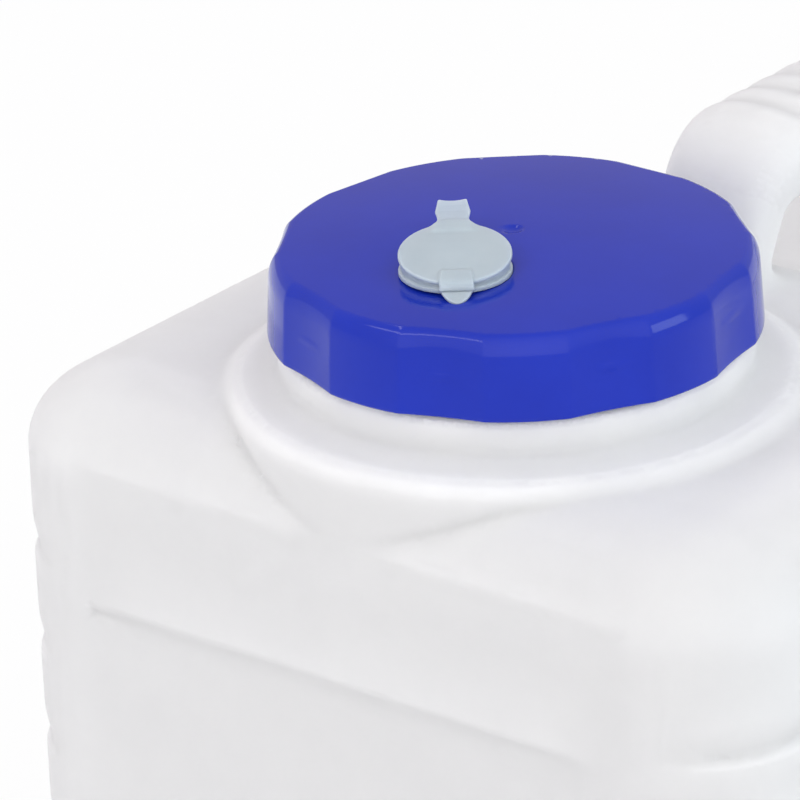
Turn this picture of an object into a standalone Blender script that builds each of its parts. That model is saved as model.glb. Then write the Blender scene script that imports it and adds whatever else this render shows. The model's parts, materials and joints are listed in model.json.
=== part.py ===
"""Wide-mouth water canister with a lobed screw cap, a flip-open air vent and a lever tap.

Metres, +Z up. The front face, which carries the tap, looks along -Y. X is the width and the
handle runs along Y. The origin is under the middle of the overall box, on the ground.
"""

import math

import bmesh
import bpy
from mathutils import Matrix, Vector

# Body, a blown shell
BODY_WIDTH = 0.229
BODY_LENGTH = 0.330
PLATEAU_HEIGHT = 0.303
DECK_DROP = 0.038  # how far the deck under the handle lies below the plateau round the neck
SLOPE_START = 0.084  # behind the cap's axis
SLOPE_LENGTH = 0.082
SLOPE_STEPS = 8
CORNER_RADIUS = 0.030
SHOULDER_RADIUS = 0.024
FOOT_RADIUS = 0.014
BODY_ROUND_STEPS = 5
WALL = 0.0025
SIDE_WALL = 0.0028
PANEL_DEPTH = 0.0012
PANEL_WIDTH = 0.166
PANEL_TOP = 0.250
PANEL_FOOT = 0.022
PANEL_CORNER = 0.012
FOOT_RECESS = 0.002
FOOT_RIM = 0.024

# Moulded grooves round the sides and the back
GROOVE_COUNT = 7
GROOVE_TOP_DROP = 0.0474  # first groove below the plateau
GROOVE_PITCH = 0.0265
GROOVE_DEPTH = 0.0014
GROOVE_TOOL_RADIUS = 0.0045
GROOVE_FADE_START = 0.062  # where the top groove begins to run out, behind the cap's axis
GROOVE_FADE_END = 0.120

# Neck and collar
CAP_SETBACK = 0.0714  # front face to the cap's axis
CAP_SEAT_RISE = 0.015  # plateau to the lower edge of the cap
NECK_RADIUS = 0.0540
NECK_WALL = 0.0026
NECK_RISE = 0.0162  # lower edge of the cap to the neck's rim
BEAD_RADIUS = 0.0573
BEAD_DROP = 0.0015
BEAD_HEIGHT = 0.0040
COLLAR_RADIUS = 0.0710
COLLAR_DROP = 0.0110
COLLAR_ROUND = 0.0040
COLLAR_VALLEY = 0.0012
RIM_EASE = 0.0008

# Screw thread, round in section
THREAD_PITCH = 0.0065
THREAD_RADIUS = 0.0017
THREAD_TURNS = 1.6
THREAD_START = 0.0018  # above the lower edge of the cap
THREAD_STAND = 0.0004  # a thread's centre line off the wall that carries it
THREAD_STEPS = 40  # points in a turn

# Cap
CAP_RADIUS = 0.060
CAP_HEIGHT = 0.0215
CAP_CROWN = 0.0033
CAP_DRAFT = 0.979
CAP_LOBES = 9
LOBE_DEPTH = 0.0105
LOBE_BREADTH = 0.37
CAP_BORE = 0.0572
CAP_TOP_WALL = 0.0030
CAP_EDGE_RADIUS = 0.0040
CAP_FACING = math.radians(-50.9)  # a lobe's direction in plan
CAP_STEPS = 72
CAP_CEILING_RADIUS = 0.0482
CROWN_RINGS = (0.6, 0.3)  # shares of the cap's radius
GATE_RADIUS = 0.0022
GATE_DEPTH = 0.0008
GASKET_WIDTH = 0.0072
GASKET_THICKNESS = 0.0014

# Handle, a hollow bow that runs on from the shell
HANDLE_HALF_WIDTH = 0.0190
HANDLE_HALF_HEIGHT = 0.0118
HANDLE_WALL = 0.0021
HANDLE_RISE = 0.0234  # its top above the lower edge of the cap
HANDLE_FRONT = 0.0850  # front bend's centre line behind the cap's axis
HANDLE_REAR = 0.0346  # back face to the centre line of its rear leg
HANDLE_BEND = 0.0155
HANDLE_LEAN = math.radians(32)  # of the front foot, from upright, under the bend
HANDLE_ROOT_LEAN = math.radians(2)
HANDLE_FOOT = 0.0360
HANDLE_FOOT_SHARE = 0.88  # section of the front foot against the grip's
HANDLE_SECTION_STEPS = 6
HANDLE_FOOT_POINTS = 4
HANDLE_BEND_POINTS = 5
GRIP_NOTCHES = 7
GRIP_DEPTH = 0.0012
GRIP_TOOL_RADIUS = 0.0030
GRIP_START = 0.104  # first notch behind the cap's axis
GRIP_END = 0.0342  # last notch before the rear leg's centre line

# Air vent in the cap
VENT_OUT = 0.0265  # cap's axis to the vent's
VENT_BEARING = math.radians(-83.9)
VENT_FACING = math.radians(39.1)  # turn of the pull tab from +Y
VENT_HOLE_RADIUS = 0.0080
VENT_SEAT_RADIUS = 0.0132
VENT_SEAT_THICKNESS = 0.0012
VENT_RING_RADIUS = 0.0126
VENT_RING_WALL = 0.0014
VENT_RING_HEIGHT = 0.0024
VENT_TUBE_WALL = 0.0020
VENT_TUBE_LENGTH = 0.0062
VENT_BARB = 0.0006
VENT_LID_RADIUS = 0.0136
VENT_LID_THICKNESS = 0.0013
VENT_LID_RIM = 0.0004
VENT_SPIGOT_LENGTH = 0.0042
VENT_TAB_WIDTH = 0.0085
VENT_TAB_REACH = 0.0090
VENT_TAB_RISE = 0.0048
TAB_STATIONS = (  # shares of its reach, rise and half width, and its tilt
    (0.10, 0.0, 1.08, 0.15),
    (0.40, 0.14, 0.95, 0.35),
    (0.75, 0.45, 1.0, 0.65),
    (1.0, 1.0, 0.86, 1.15),
)
TAB_ROOT_WIDTH = 1.35  # share of its half width
TAB_ROOT = 0.0034  # how far it runs in under the lid's rim
VENT_STRAP_WIDTH = 0.0083
VENT_STRAP_THICKNESS = 0.0009
STRAP_FOLD_TILT = 0.8
STRAP_TIP_WIDTH = 0.35  # share of its half width where it turns on the seat
HINGE_OUT = 0.0143  # vent's axis to the film hinge's
HINGE_UP = 0.0015
SPOT_FACE_MARGIN = 0.0006
SPOT_FACE_DEPTH = 0.00095

# Tap
TAP_HEIGHT = 0.046
TAP_REACH = 0.030  # front panel to the middle of the barrel
SHANK_RADIUS = 0.0105
SHANK_BORE = 0.0062
SHANK_INSIDE = 0.0165
FLANGE_RADIUS = 0.0165
FLANGE_THICKNESS = 0.0030
WASHER_RADIUS = 0.0160
WASHER_THICKNESS = 0.0020
NUT_RADIUS = 0.0175
NUT_THICKNESS = 0.0070
BARREL_RADIUS = 0.0112
BARREL_BORE = 0.0084
BARREL_UP = 0.0145
BARREL_DOWN = 0.0110
SPOUT_RADIUS = 0.0086
SPOUT_BORE = 0.0062
SPOUT_LENGTH = 0.0200
ROTOR_RADIUS = 0.0080
ROTOR_PORT = 0.0048
SPINDLE_RADIUS = 0.0042
ORING_SECTION = 0.00075
ORING_GROOVE_DEPTH = 0.0017
ORING_OFFSET = 0.0085
BONNET_RADIUS = 0.0128
BONNET_HEIGHT = 0.0068
BONNET_TOP = 0.0018
BONNET_KNURLS = 24
LEVER_HUB_RADIUS = 0.0090
LEVER_HUB_HEIGHT = 0.0090
LEVER_LENGTH = 0.0360
LEVER_WIDTH = 0.0110
LEVER_THICKNESS = 0.0052
LEVER_RISE = 0.0060
LEVER_CROWN = 0.0025  # thickness over the spindle
LEVER_STATIONS = (  # shares of its length, rise, width and thickness
    (0.15, 0.0, 0.80, 1.0),
    (0.35, 0.05, 0.82, 1.0),
    (0.65, 0.45, 0.95, 0.85),
    (0.92, 0.95, 1.0, 0.75),
    (1.0, 1.0, 0.78, 0.6),
)
LEVER_SECTION_POINTS = 12
SCREW_HEAD_RADIUS = 0.0034
SCREW_HEAD_HEIGHT = 0.0020
SCREW_HEAD_EASE = 0.0010
SCREW_SLOT_REACH = 0.0020  # from its middle
SCREW_SHANK_RADIUS = 0.0013
SCREW_LENGTH = 0.0070
SCREW_SLOT = 0.0008

GAP = 0.0003  # between pieces that touch
FINE = 32
COARSE = 20

# Places worked out from the sizes
TAP_PROUD = TAP_REACH + BONNET_RADIUS - PANEL_DEPTH
FRONT_Y = TAP_PROUD - (BODY_LENGTH + TAP_PROUD) / 2
BACK_Y = FRONT_Y + BODY_LENGTH
CAP_Y = FRONT_Y + CAP_SETBACK
CAP_Z = PLATEAU_HEIGHT + CAP_SEAT_RISE
REAR_LEG_Y = BACK_Y - HANDLE_REAR
GRIP_Y = CAP_Y + GRIP_START
GRIP_PITCH = (REAR_LEG_Y - GRIP_END - GRIP_Y) / (GRIP_NOTCHES - 1)
DECK_HEIGHT = PLATEAU_HEIGHT - DECK_DROP
PANEL_Y = FRONT_Y + PANEL_DEPTH
RIM_Z = CAP_Z + NECK_RISE
CEILING_Z = RIM_Z + 2 * GAP + GASKET_THICKNESS
BARREL_Y = PANEL_Y - TAP_REACH
FRONT_WALL = WALL + PANEL_DEPTH
FLOOR = WALL + FOOT_RECESS
BONNET_TOP_Z = BARREL_UP + GAP + BONNET_TOP  # above the tap's axis
LEVER_TOP = BONNET_TOP_Z + GAP + LEVER_HUB_HEIGHT
SPINDLE_TOP = LEVER_TOP - LEVER_CROWN - GAP
DOME_SHARE = 1 - (VENT_OUT / (CAP_RADIUS - CAP_EDGE_RADIUS)) ** 2
SPOT_Z = CAP_Z + CAP_HEIGHT + CAP_CROWN * DOME_SHARE - SPOT_FACE_DEPTH


def clear_scene():
    for thing in list(bpy.data.objects):
        bpy.data.objects.remove(thing, do_unlink=True)


def new_collection(name, hidden=False):
    group = bpy.data.collections.new(name)
    bpy.context.scene.collection.children.link(group)
    group.hide_render = hidden
    return group


def material(name, colour, roughness, transmission=0.0, metallic=0.0):
    made = bpy.data.materials.new(name)
    made.use_nodes = True
    shader = made.node_tree.nodes["Principled BSDF"]
    shader.inputs["Base Color"].default_value = (*colour, 1.0)
    shader.inputs["Roughness"].default_value = roughness
    shader.inputs["Metallic"].default_value = metallic
    shader.inputs["Transmission Weight"].default_value = transmission
    made.diffuse_color = (*colour, 1.0)
    return made


clear_scene()
PARTS = new_collection("water_canister")
CUTTERS = new_collection("cutters", hidden=True)
MILKY = material("milky_polyethylene", (0.86, 0.87, 0.88), 0.32, 0.25)
BLUE = material("blue_cap_plastic", (0.045, 0.055, 0.50), 0.25)
FOAM = material("white_foam_seal", (0.80, 0.81, 0.80), 0.75)
VENT = material("soft_vent_plastic", (0.55, 0.63, 0.66), 0.35, 0.2)
TAP_WHITE = material("white_tap_plastic", (0.83, 0.84, 0.84), 0.30)
SILICONE = material("clear_silicone", (0.70, 0.73, 0.74), 0.45)
BLACK_RUBBER = material("black_rubber", (0.02, 0.02, 0.02), 0.60)
STEEL = material("stainless_steel", (0.62, 0.62, 0.63), 0.30, 0.0, 1.0)


def finish(shape, name, paint, smooth_angle=35):
    """Turns a bmesh into a part's object with its material."""
    bmesh.ops.recalc_face_normals(shape, faces=shape.faces)
    mesh = bpy.data.meshes.new(name)
    shape.to_mesh(mesh)
    shape.free()
    mesh.materials.append(paint)
    smooth(mesh, smooth_angle)
    made = bpy.data.objects.new(name, mesh)
    PARTS.objects.link(made)
    return made


def smooth(mesh, angle=35):
    mesh.shade_smooth()
    mesh.set_sharp_from_angle(angle=math.radians(angle))


def as_cutter(made):
    for group in list(made.users_collection):
        group.objects.unlink(made)
    CUTTERS.objects.link(made)
    made.hide_render = True
    made.display_type = "WIRE"
    return made


def boolean(target, tool, operation="DIFFERENCE"):
    change = target.modifiers.new(operation.lower() + "_" + tool.name, "BOOLEAN")
    change.operation = operation
    change.object = as_cutter(tool)
    change.solver = "EXACT"
    return target


def settle(made, angle=35):
    """Replaces an object's mesh by its evaluated one, so that its modifiers are spent."""
    bpy.context.view_layer.update()
    graph = bpy.context.evaluated_depsgraph_get()
    mesh = bpy.data.meshes.new_from_object(made.evaluated_get(graph))
    made.modifiers.clear()
    made.data = mesh
    smooth(mesh, angle)
    return made


def cylinder(name, radius, low, high, paint, steps=FINE, centre=(0, 0)):
    """A disc or plug standing along Z from low to high."""
    shape = bmesh.new()
    bmesh.ops.create_cone(
        shape,
        cap_ends=True,
        segments=steps,
        radius1=radius,
        radius2=radius,
        depth=high - low,
    )
    middle = Vector((centre[0], centre[1], (low + high) / 2))
    bmesh.ops.translate(shape, verts=shape.verts, vec=middle)
    return finish(shape, name, paint)


def box(name, low, high, paint):
    shape = bmesh.new()
    bmesh.ops.create_cube(shape, size=1.0)
    low, high = Vector(low), Vector(high)
    size = high - low
    bmesh.ops.scale(shape, verts=shape.verts, vec=size)
    bmesh.ops.translate(shape, verts=shape.verts, vec=(low + high) / 2)
    return finish(shape, name, paint)


def turned(name, profile, paint, steps=FINE, place=(0, 0, 0), closed=True):
    """Turns a profile of (radius, height) points, listed down its outer side first, about Z.

    An open profile starts and ends on the axis.
    """
    mesh = bpy.data.meshes.new(name)
    points = [(radius, 0, height) for radius, height in profile]
    edges = [(i, i + 1) for i in range(len(points) - 1)]
    if closed:
        edges.append((len(points) - 1, 0))
    mesh.from_pydata(points, edges, [])
    mesh.materials.append(paint)
    made = bpy.data.objects.new(name, mesh)
    made.location = place
    PARTS.objects.link(made)
    screw = made.modifiers.new("turned", "SCREW")
    screw.steps = steps
    screw.render_steps = steps
    screw.use_merge_vertices = True
    screw.merge_threshold = 1e-5
    settle(made)
    shape = bmesh.new()
    shape.from_mesh(made.data)
    bmesh.ops.recalc_face_normals(shape, faces=shape.faces)
    shape.to_mesh(made.data)
    shape.free()
    smooth(made.data)
    return made


def tube(name, points, radius, paint, cyclic=False, resolution=2, widen=1.0, sizes=None):
    """A tube along points, made a mesh. Widen stretches its section along X.

    Sizes scales the section at each point.
    """
    path = bpy.data.curves.new(name, "CURVE")
    path.dimensions = "3D"
    path.bevel_depth = radius
    path.bevel_resolution = resolution
    path.use_fill_caps = not cyclic
    line = path.splines.new("POLY")
    line.points.add(len(points) - 1)
    for point, place, size in zip(line.points, points, sizes or [1.0] * len(points)):
        point.co = (*place, 1)
        point.radius = size
    line.use_cyclic_u = cyclic
    guide = bpy.data.objects.new(name, path)
    PARTS.objects.link(guide)
    bpy.context.view_layer.update()
    graph = bpy.context.evaluated_depsgraph_get()
    mesh = bpy.data.meshes.new_from_object(guide.evaluated_get(graph))
    bpy.data.objects.remove(guide, do_unlink=True)
    shape = bmesh.new()
    shape.from_mesh(mesh)
    bmesh.ops.remove_doubles(shape, verts=shape.verts, dist=1e-6)
    bmesh.ops.scale(shape, verts=shape.verts, vec=(widen, 1, 1))
    return finish(shape, name, paint)


def helix(radius, start, turns, phase=0.0):
    """Points of a right-hand helix about the cap's axis."""
    count = round(turns * THREAD_STEPS)
    points = []
    for i in range(count + 1):
        angle = phase + 2 * math.pi * turns * i / count
        rise = THREAD_PITCH * turns * i / count
        points.append((radius * math.cos(angle), CAP_Y + radius * math.sin(angle), start + rise))
    return points


def loft(name, rings, paint, angle=35):
    """Joins rings of as many points each into one skin and closes both ends."""
    shape = bmesh.new()
    rows = [[shape.verts.new(point) for point in ring] for ring in rings]
    count = len(rings[0])
    for lower, upper in zip(rows, rows[1:]):
        for i in range(count):
            j = (i + 1) % count
            shape.faces.new((lower[i], lower[j], upper[j], upper[i]))
    shape.faces.new(rows[0])
    shape.faces.new(rows[-1])
    return finish(shape, name, paint, angle)


def shell_profile(front, back, floor, ceiling):
    """The shell's outline seen from +X as (y, z), inset from the outside by four walls."""
    start = CAP_Y + SLOPE_START
    outline = [(FRONT_Y + front, floor), (FRONT_Y + front, PLATEAU_HEIGHT - ceiling)]
    for i in range(SLOPE_STEPS + 1):
        share = i / SLOPE_STEPS
        drop = DECK_DROP * (1 - math.cos(math.pi * share)) / 2
        outline.append((start + SLOPE_LENGTH * share, PLATEAU_HEIGHT - ceiling - drop))
    outline.append((BACK_Y - back, DECK_HEIGHT - ceiling))
    outline.append((BACK_Y - back, floor))
    return outline


def rounded_shell(name, side=0.0, front=0.0, back=0.0, floor=0.0, ceiling=0.0):
    """The body's form: its side outline across the width, with rounded corners and shoulders."""
    outline = shell_profile(front, back, floor, ceiling)
    half = BODY_WIDTH / 2 - side
    shape = bmesh.new()
    weight = shape.edges.layers.float.new("bevel_weight_edge")
    left = [shape.verts.new((-half, y, z)) for y, z in outline]
    right = [shape.verts.new((half, y, z)) for y, z in outline]
    count = len(outline)
    shape.faces.new(left)
    shape.faces.new(list(reversed(right)))
    for i in range(count):
        j = (i + 1) % count
        shape.faces.new((left[i], right[i], right[j], left[j]))
    corner = CORNER_RADIUS - side
    shoulder = (SHOULDER_RADIUS - ceiling) / corner
    foot = (FOOT_RADIUS - ceiling) / corner
    ends = [left[i] for i in (0, 1, count - 2, count - 1)]
    for edge in shape.edges:
        a, b = edge.verts
        across = abs(a.co.x - b.co.x) > half
        if across and a not in ends and b not in ends:
            continue
        if abs(a.co.z - b.co.z) > PLATEAU_HEIGHT / 2:
            edge[weight] = 1.0
        elif max(a.co.z, b.co.z) < PLATEAU_HEIGHT / 2:
            edge[weight] = foot
        else:
            edge[weight] = shoulder
    made = finish(shape, name, MILKY)
    bevel = made.modifiers.new("rounded", "BEVEL")
    bevel.limit_method = "WEIGHT"
    bevel.width = corner
    bevel.segments = BODY_ROUND_STEPS
    bevel.use_clamp_overlap = False
    return settle(made)


def along_y(made, place):
    """Lays an object that was made along +Z along +Y, then moves it."""
    turn = Matrix.Translation(Vector(place)) @ Matrix.Rotation(-math.pi / 2, 4, "X")
    made.data.transform(turn)
    return made


def neck_and_collar():
    """Solid of the raised collar, the bead under the cap and the neck."""
    bead = CAP_Z - BEAD_DROP
    crest = CAP_Z - COLLAR_DROP
    profile = [
        (0, RIM_Z),
        (NECK_RADIUS - RIM_EASE, RIM_Z),
        (NECK_RADIUS, RIM_Z - RIM_EASE),
        (NECK_RADIUS, bead),
        (BEAD_RADIUS - RIM_EASE, bead),
        (BEAD_RADIUS, bead - RIM_EASE),
        (BEAD_RADIUS, bead - BEAD_HEIGHT),
        (BEAD_RADIUS + COLLAR_ROUND / 2, crest),
        ((BEAD_RADIUS + COLLAR_RADIUS) / 2, crest - COLLAR_VALLEY),
    ]
    for i in range(4):
        angle = math.pi / 2 * (1 - i / 3)
        reach = COLLAR_RADIUS - COLLAR_ROUND * (1 - math.cos(angle))
        profile.append((reach, crest - COLLAR_ROUND * (1 - math.sin(angle))))
    low = PLATEAU_HEIGHT - 2 * SHOULDER_RADIUS
    profile += [(COLLAR_RADIUS, low), (0, low)]
    return turned("neck_and_collar", profile, MILKY, CAP_STEPS // 2, (0, CAP_Y, 0), closed=False)


def handle_line():
    """Centre line of the handle, from inside the plateau over the grip to inside the deck."""
    bend_z = CAP_Z + HANDLE_RISE - HANDLE_HALF_HEIGHT - HANDLE_BEND
    front = CAP_Y + HANDLE_FRONT + HANDLE_BEND
    back = REAR_LEG_Y - HANDLE_BEND
    root_y = front - HANDLE_BEND * math.cos(HANDLE_LEAN)
    root_z = bend_z + HANDLE_BEND * math.sin(HANDLE_LEAN)
    line = []
    for i in range(HANDLE_FOOT_POINTS):
        depth = HANDLE_FOOT * (1 - i / HANDLE_FOOT_POINTS)
        eased = (math.tan(HANDLE_LEAN) - math.tan(HANDLE_ROOT_LEAN)) * depth / HANDLE_FOOT / 2
        line.append((0, root_y - depth * (math.tan(HANDLE_LEAN) - eased), root_z - depth))
    for i in range(HANDLE_BEND_POINTS):
        share = i / (HANDLE_BEND_POINTS - 1)
        angle = math.pi - HANDLE_LEAN - (math.pi / 2 - HANDLE_LEAN) * share
        line.append((0, front + HANDLE_BEND * math.cos(angle), bend_z + HANDLE_BEND * math.sin(angle)))
    for i in range(HANDLE_BEND_POINTS):
        angle = math.pi / 2 * (1 - i / (HANDLE_BEND_POINTS - 1))
        line.append((0, back + HANDLE_BEND * math.cos(angle), bend_z + HANDLE_BEND * math.sin(angle)))
    line.append((0, back + HANDLE_BEND, DECK_HEIGHT))
    line.append((0, back + HANDLE_BEND, DECK_HEIGHT - HANDLE_FOOT))
    return line


def handle(name, thinner=0.0):
    height = HANDLE_HALF_HEIGHT - thinner
    widen = (HANDLE_HALF_WIDTH - thinner) / height
    line = handle_line()
    sizes = [1.0] * len(line)
    for i in range(HANDLE_FOOT_POINTS + HANDLE_BEND_POINTS):
        share = max(0, i - HANDLE_FOOT_POINTS + 1) / HANDLE_BEND_POINTS
        sizes[i] = HANDLE_FOOT_SHARE + (1 - HANDLE_FOOT_SHARE) * share
    return tube(name, line, height, MILKY, False, HANDLE_SECTION_STEPS, widen, sizes)


def groove_line(drop, round_back):
    """Centre line of a groove's tool, outside the sides, fading out on the front corners."""
    away = GROOVE_TOOL_RADIUS - GROOVE_DEPTH
    reach = CORNER_RADIUS + away
    half = BODY_WIDTH / 2 - CORNER_RADIUS
    z = PLATEAU_HEIGHT - drop
    line = []
    for i in range(6):
        angle = math.pi / 2 * i / 5
        far = reach + (GROOVE_DEPTH * 1.5 if i == 0 else 0)
        line.append((-half - far * math.sin(angle), FRONT_Y + CORNER_RADIUS - far * math.cos(angle), z))
    if not round_back:
        edge = half + reach
        line.append((-edge, CAP_Y + GROOVE_FADE_START, z))
        line.append((-edge - 2 * GROOVE_DEPTH, CAP_Y + GROOVE_FADE_END, z))
        return line
    for i in range(6):
        angle = math.pi / 2 * i / 5
        line.append((-half - reach * math.cos(angle), BACK_Y - CORNER_RADIUS + reach * math.sin(angle), z))
    return line + [(-x, y, z) for x, y, z in reversed(line)]


def grooves():
    """One tool for each groove; the top one stops short of the deck, on each side by itself."""
    tools = []
    line = groove_line(GROOVE_TOP_DROP, False)
    tools.append(tube("groove_tool_left", line, GROOVE_TOOL_RADIUS, MILKY))
    mirrored = [(-x, y, z) for x, y, z in line]
    tools.append(tube("groove_tool_right", mirrored, GROOVE_TOOL_RADIUS, MILKY))
    for i in range(1, GROOVE_COUNT):
        line = groove_line(GROOVE_TOP_DROP + i * GROOVE_PITCH, True)
        tools.append(tube(f"groove_tool_{i}", line, GROOVE_TOOL_RADIUS, MILKY))
    return tools


def rounded_block(name, low, high, radius, axis):
    """A block whose edges along one axis (0, 1 or 2) are rounded."""
    block = box(name, low, high, MILKY)
    shape = bmesh.new()
    shape.from_mesh(block.data)
    along = [e for e in shape.edges if abs((e.verts[0].co - e.verts[1].co)[axis]) > 1e-6]
    bmesh.ops.bevel(shape, geom=along, offset=radius, segments=4, profile=0.5, affect="EDGES")
    shape.to_mesh(block.data)
    shape.free()
    return block


def make_tank():
    tank = rounded_shell("tank_body")
    boolean(tank, neck_and_collar(), "UNION")
    boolean(tank, handle("handle_skin"), "UNION")
    thread = helix(NECK_RADIUS + THREAD_STAND, CAP_Z + THREAD_START, THREAD_TURNS)
    boolean(tank, tube("neck_thread", thread, THREAD_RADIUS, MILKY), "UNION")
    boolean(tank, rounded_shell("tank_hollow", SIDE_WALL, FRONT_WALL, WALL, FLOOR, WALL))
    collar_top = CAP_Z - COLLAR_DROP - COLLAR_VALLEY - WALL
    under_collar = cylinder(
        "collar_hollow", COLLAR_RADIUS - WALL, PLATEAU_HEIGHT - SHOULDER_RADIUS, collar_top, MILKY,
        CAP_STEPS // 2, (0, CAP_Y)
    )
    boolean(tank, under_collar)
    under_bead = cylinder(
        "bead_hollow", BEAD_RADIUS - WALL, PLATEAU_HEIGHT - SHOULDER_RADIUS, CAP_Z - BEAD_DROP - WALL,
        MILKY, CAP_STEPS // 2, (0, CAP_Y)
    )
    boolean(tank, under_bead)
    mouth = cylinder(
        "mouth", NECK_RADIUS - NECK_WALL, PLATEAU_HEIGHT - SHOULDER_RADIUS, RIM_Z + CAP_HEIGHT, MILKY,
        CAP_STEPS // 2, (0, CAP_Y)
    )
    boolean(tank, mouth)
    boolean(tank, handle("handle_hollow", HANDLE_WALL))
    for tool in grooves():
        boolean(tank, tool)
    half = PANEL_WIDTH / 2
    panel = rounded_block(
        "front_panel", (-half, FRONT_Y - WALL, PANEL_FOOT), (half, PANEL_Y, PANEL_TOP), PANEL_CORNER, 1
    )
    boolean(tank, panel)
    recess = rounded_block(
        "foot_recess",
        (FOOT_RIM - BODY_WIDTH / 2, FRONT_Y + FOOT_RIM, -WALL),
        (BODY_WIDTH / 2 - FOOT_RIM, BACK_Y - FOOT_RIM, FOOT_RECESS),
        CORNER_RADIUS,
        2,
    )
    boolean(tank, recess)
    hole = cylinder("tap_hole", SHANK_RADIUS + GAP, -FRONT_WALL, FRONT_WALL * 3, MILKY)
    boolean(tank, along_y(hole, (0, PANEL_Y, TAP_HEIGHT)))
    for i in range(GRIP_NOTCHES):
        notch = cylinder(
            f"grip_notch_{i}", GRIP_TOOL_RADIUS, -HANDLE_HALF_WIDTH, HANDLE_HALF_WIDTH, MILKY, 12
        )
        notch.data.transform(Matrix.Rotation(math.pi / 2, 4, "Y"))
        height = CAP_Z + HANDLE_RISE + GRIP_TOOL_RADIUS - GRIP_DEPTH
        notch.location = (0, GRIP_Y + i * GRIP_PITCH, height)
        boolean(tank, notch)
    return settle(tank)


def lobe(angle):
    """Share of the cap's radius in a direction, with broad lobes and narrow flutes between."""
    turn = CAP_LOBES * (angle - CAP_FACING)
    return 1 + LOBE_DEPTH * (math.cos(turn) - LOBE_BREADTH * math.cos(2 * turn))


def cap_ring(radius, height, lobed=0.0):
    """Points about the cap's axis; lobed runs from 0, round, to 1, fully lobed."""
    ring = []
    for i in range(CAP_STEPS):
        angle = 2 * math.pi * i / CAP_STEPS
        reach = radius * (1 + lobed * (lobe(angle) - 1))
        ring.append((reach * math.cos(angle), CAP_Y + reach * math.sin(angle), CAP_Z + height))
    return ring


def crown(radius):
    """Height of the cap's top above its lower edge at a distance from its axis."""
    return CAP_HEIGHT + CAP_CROWN * (1 - (radius / (CAP_RADIUS - CAP_EDGE_RADIUS)) ** 2)


def cap_shell():
    """Lobed skirt and crowned top, hollow below."""
    ceiling = CEILING_Z - CAP_Z
    inside = CAP_CEILING_RADIUS
    rings = [
        cap_ring(inside / 3, crown(inside / 3) - CAP_TOP_WALL),
        cap_ring(inside - CAP_TOP_WALL, crown(inside) - CAP_TOP_WALL),
        cap_ring(inside, ceiling),
        cap_ring(CAP_BORE, ceiling),
        cap_ring(CAP_BORE, RIM_EASE),
        cap_ring(CAP_BORE + RIM_EASE, 0),
        cap_ring(CAP_RADIUS, 0, 1),
    ]
    top_radius = CAP_RADIUS * CAP_DRAFT
    side_top = CAP_HEIGHT - CAP_EDGE_RADIUS
    for i in range(4):
        angle = math.pi / 2 * i / 4
        reach = top_radius - CAP_EDGE_RADIUS * (1 - math.cos(angle))
        rings.append(cap_ring(reach, side_top + CAP_EDGE_RADIUS * math.sin(angle), 1 - i / 5))
    reaches = [top_radius - CAP_EDGE_RADIUS]
    reaches += [CAP_RADIUS * share for share in CROWN_RINGS]
    reaches.append(GATE_RADIUS)
    for reach in reaches:
        rings.append(cap_ring(reach, crown(reach)))
    rings.append(cap_ring(GATE_RADIUS / 2, crown(0) - GATE_DEPTH))
    return loft("cap_shell", rings, BLUE)


def vent_frame():
    """World place of a point given in the vent's own frame, with +Y towards its pull tab."""
    x = VENT_OUT * math.cos(VENT_BEARING)
    y = CAP_Y + VENT_OUT * math.sin(VENT_BEARING)
    return Matrix.Translation((x, y, SPOT_Z)) @ Matrix.Rotation(VENT_FACING, 4, "Z")


def make_cap():
    cap = cap_shell()
    thread = helix(CAP_BORE - THREAD_STAND, CAP_Z + THREAD_START, THREAD_TURNS, math.pi)
    boolean(cap, tube("cap_thread", thread, THREAD_RADIUS, BLUE), "UNION")
    place = vent_frame().translation
    spot = cylinder(
        "spot_face", VENT_SEAT_RADIUS + SPOT_FACE_MARGIN, SPOT_Z, SPOT_Z + CAP_HEIGHT, BLUE, FINE, place[:2]
    )
    boolean(cap, spot)
    hole = cylinder("vent_hole", VENT_HOLE_RADIUS, CAP_Z, SPOT_Z + CAP_HEIGHT, BLUE, FINE, place[:2])
    boolean(cap, hole)
    settle(cap)
    gasket_out = CAP_BORE - GAP
    low = RIM_Z + GAP
    profile = [
        (gasket_out, low + GASKET_THICKNESS),
        (gasket_out, low),
        (gasket_out - GASKET_WIDTH, low),
        (gasket_out - GASKET_WIDTH, low + GASKET_THICKNESS),
    ]
    turned("cap_gasket", profile, FOAM, CAP_STEPS // 2, (0, CAP_Y, 0))
    return cap


def strip(name, sections, paint):
    """A flat strip through (y, z, half width, half thickness, tilt) sections in the YZ plane."""
    rings = []
    for y, z, half, thick, tilt in sections:
        dy = -thick * math.sin(tilt)
        dz = thick * math.cos(tilt)
        rings.append([
            (-half, y + dy, z + dz),
            (half, y + dy, z + dz),
            (half, y - dy, z - dz),
            (-half, y - dy, z - dz),
        ])
    return loft(name, rings, paint)


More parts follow.
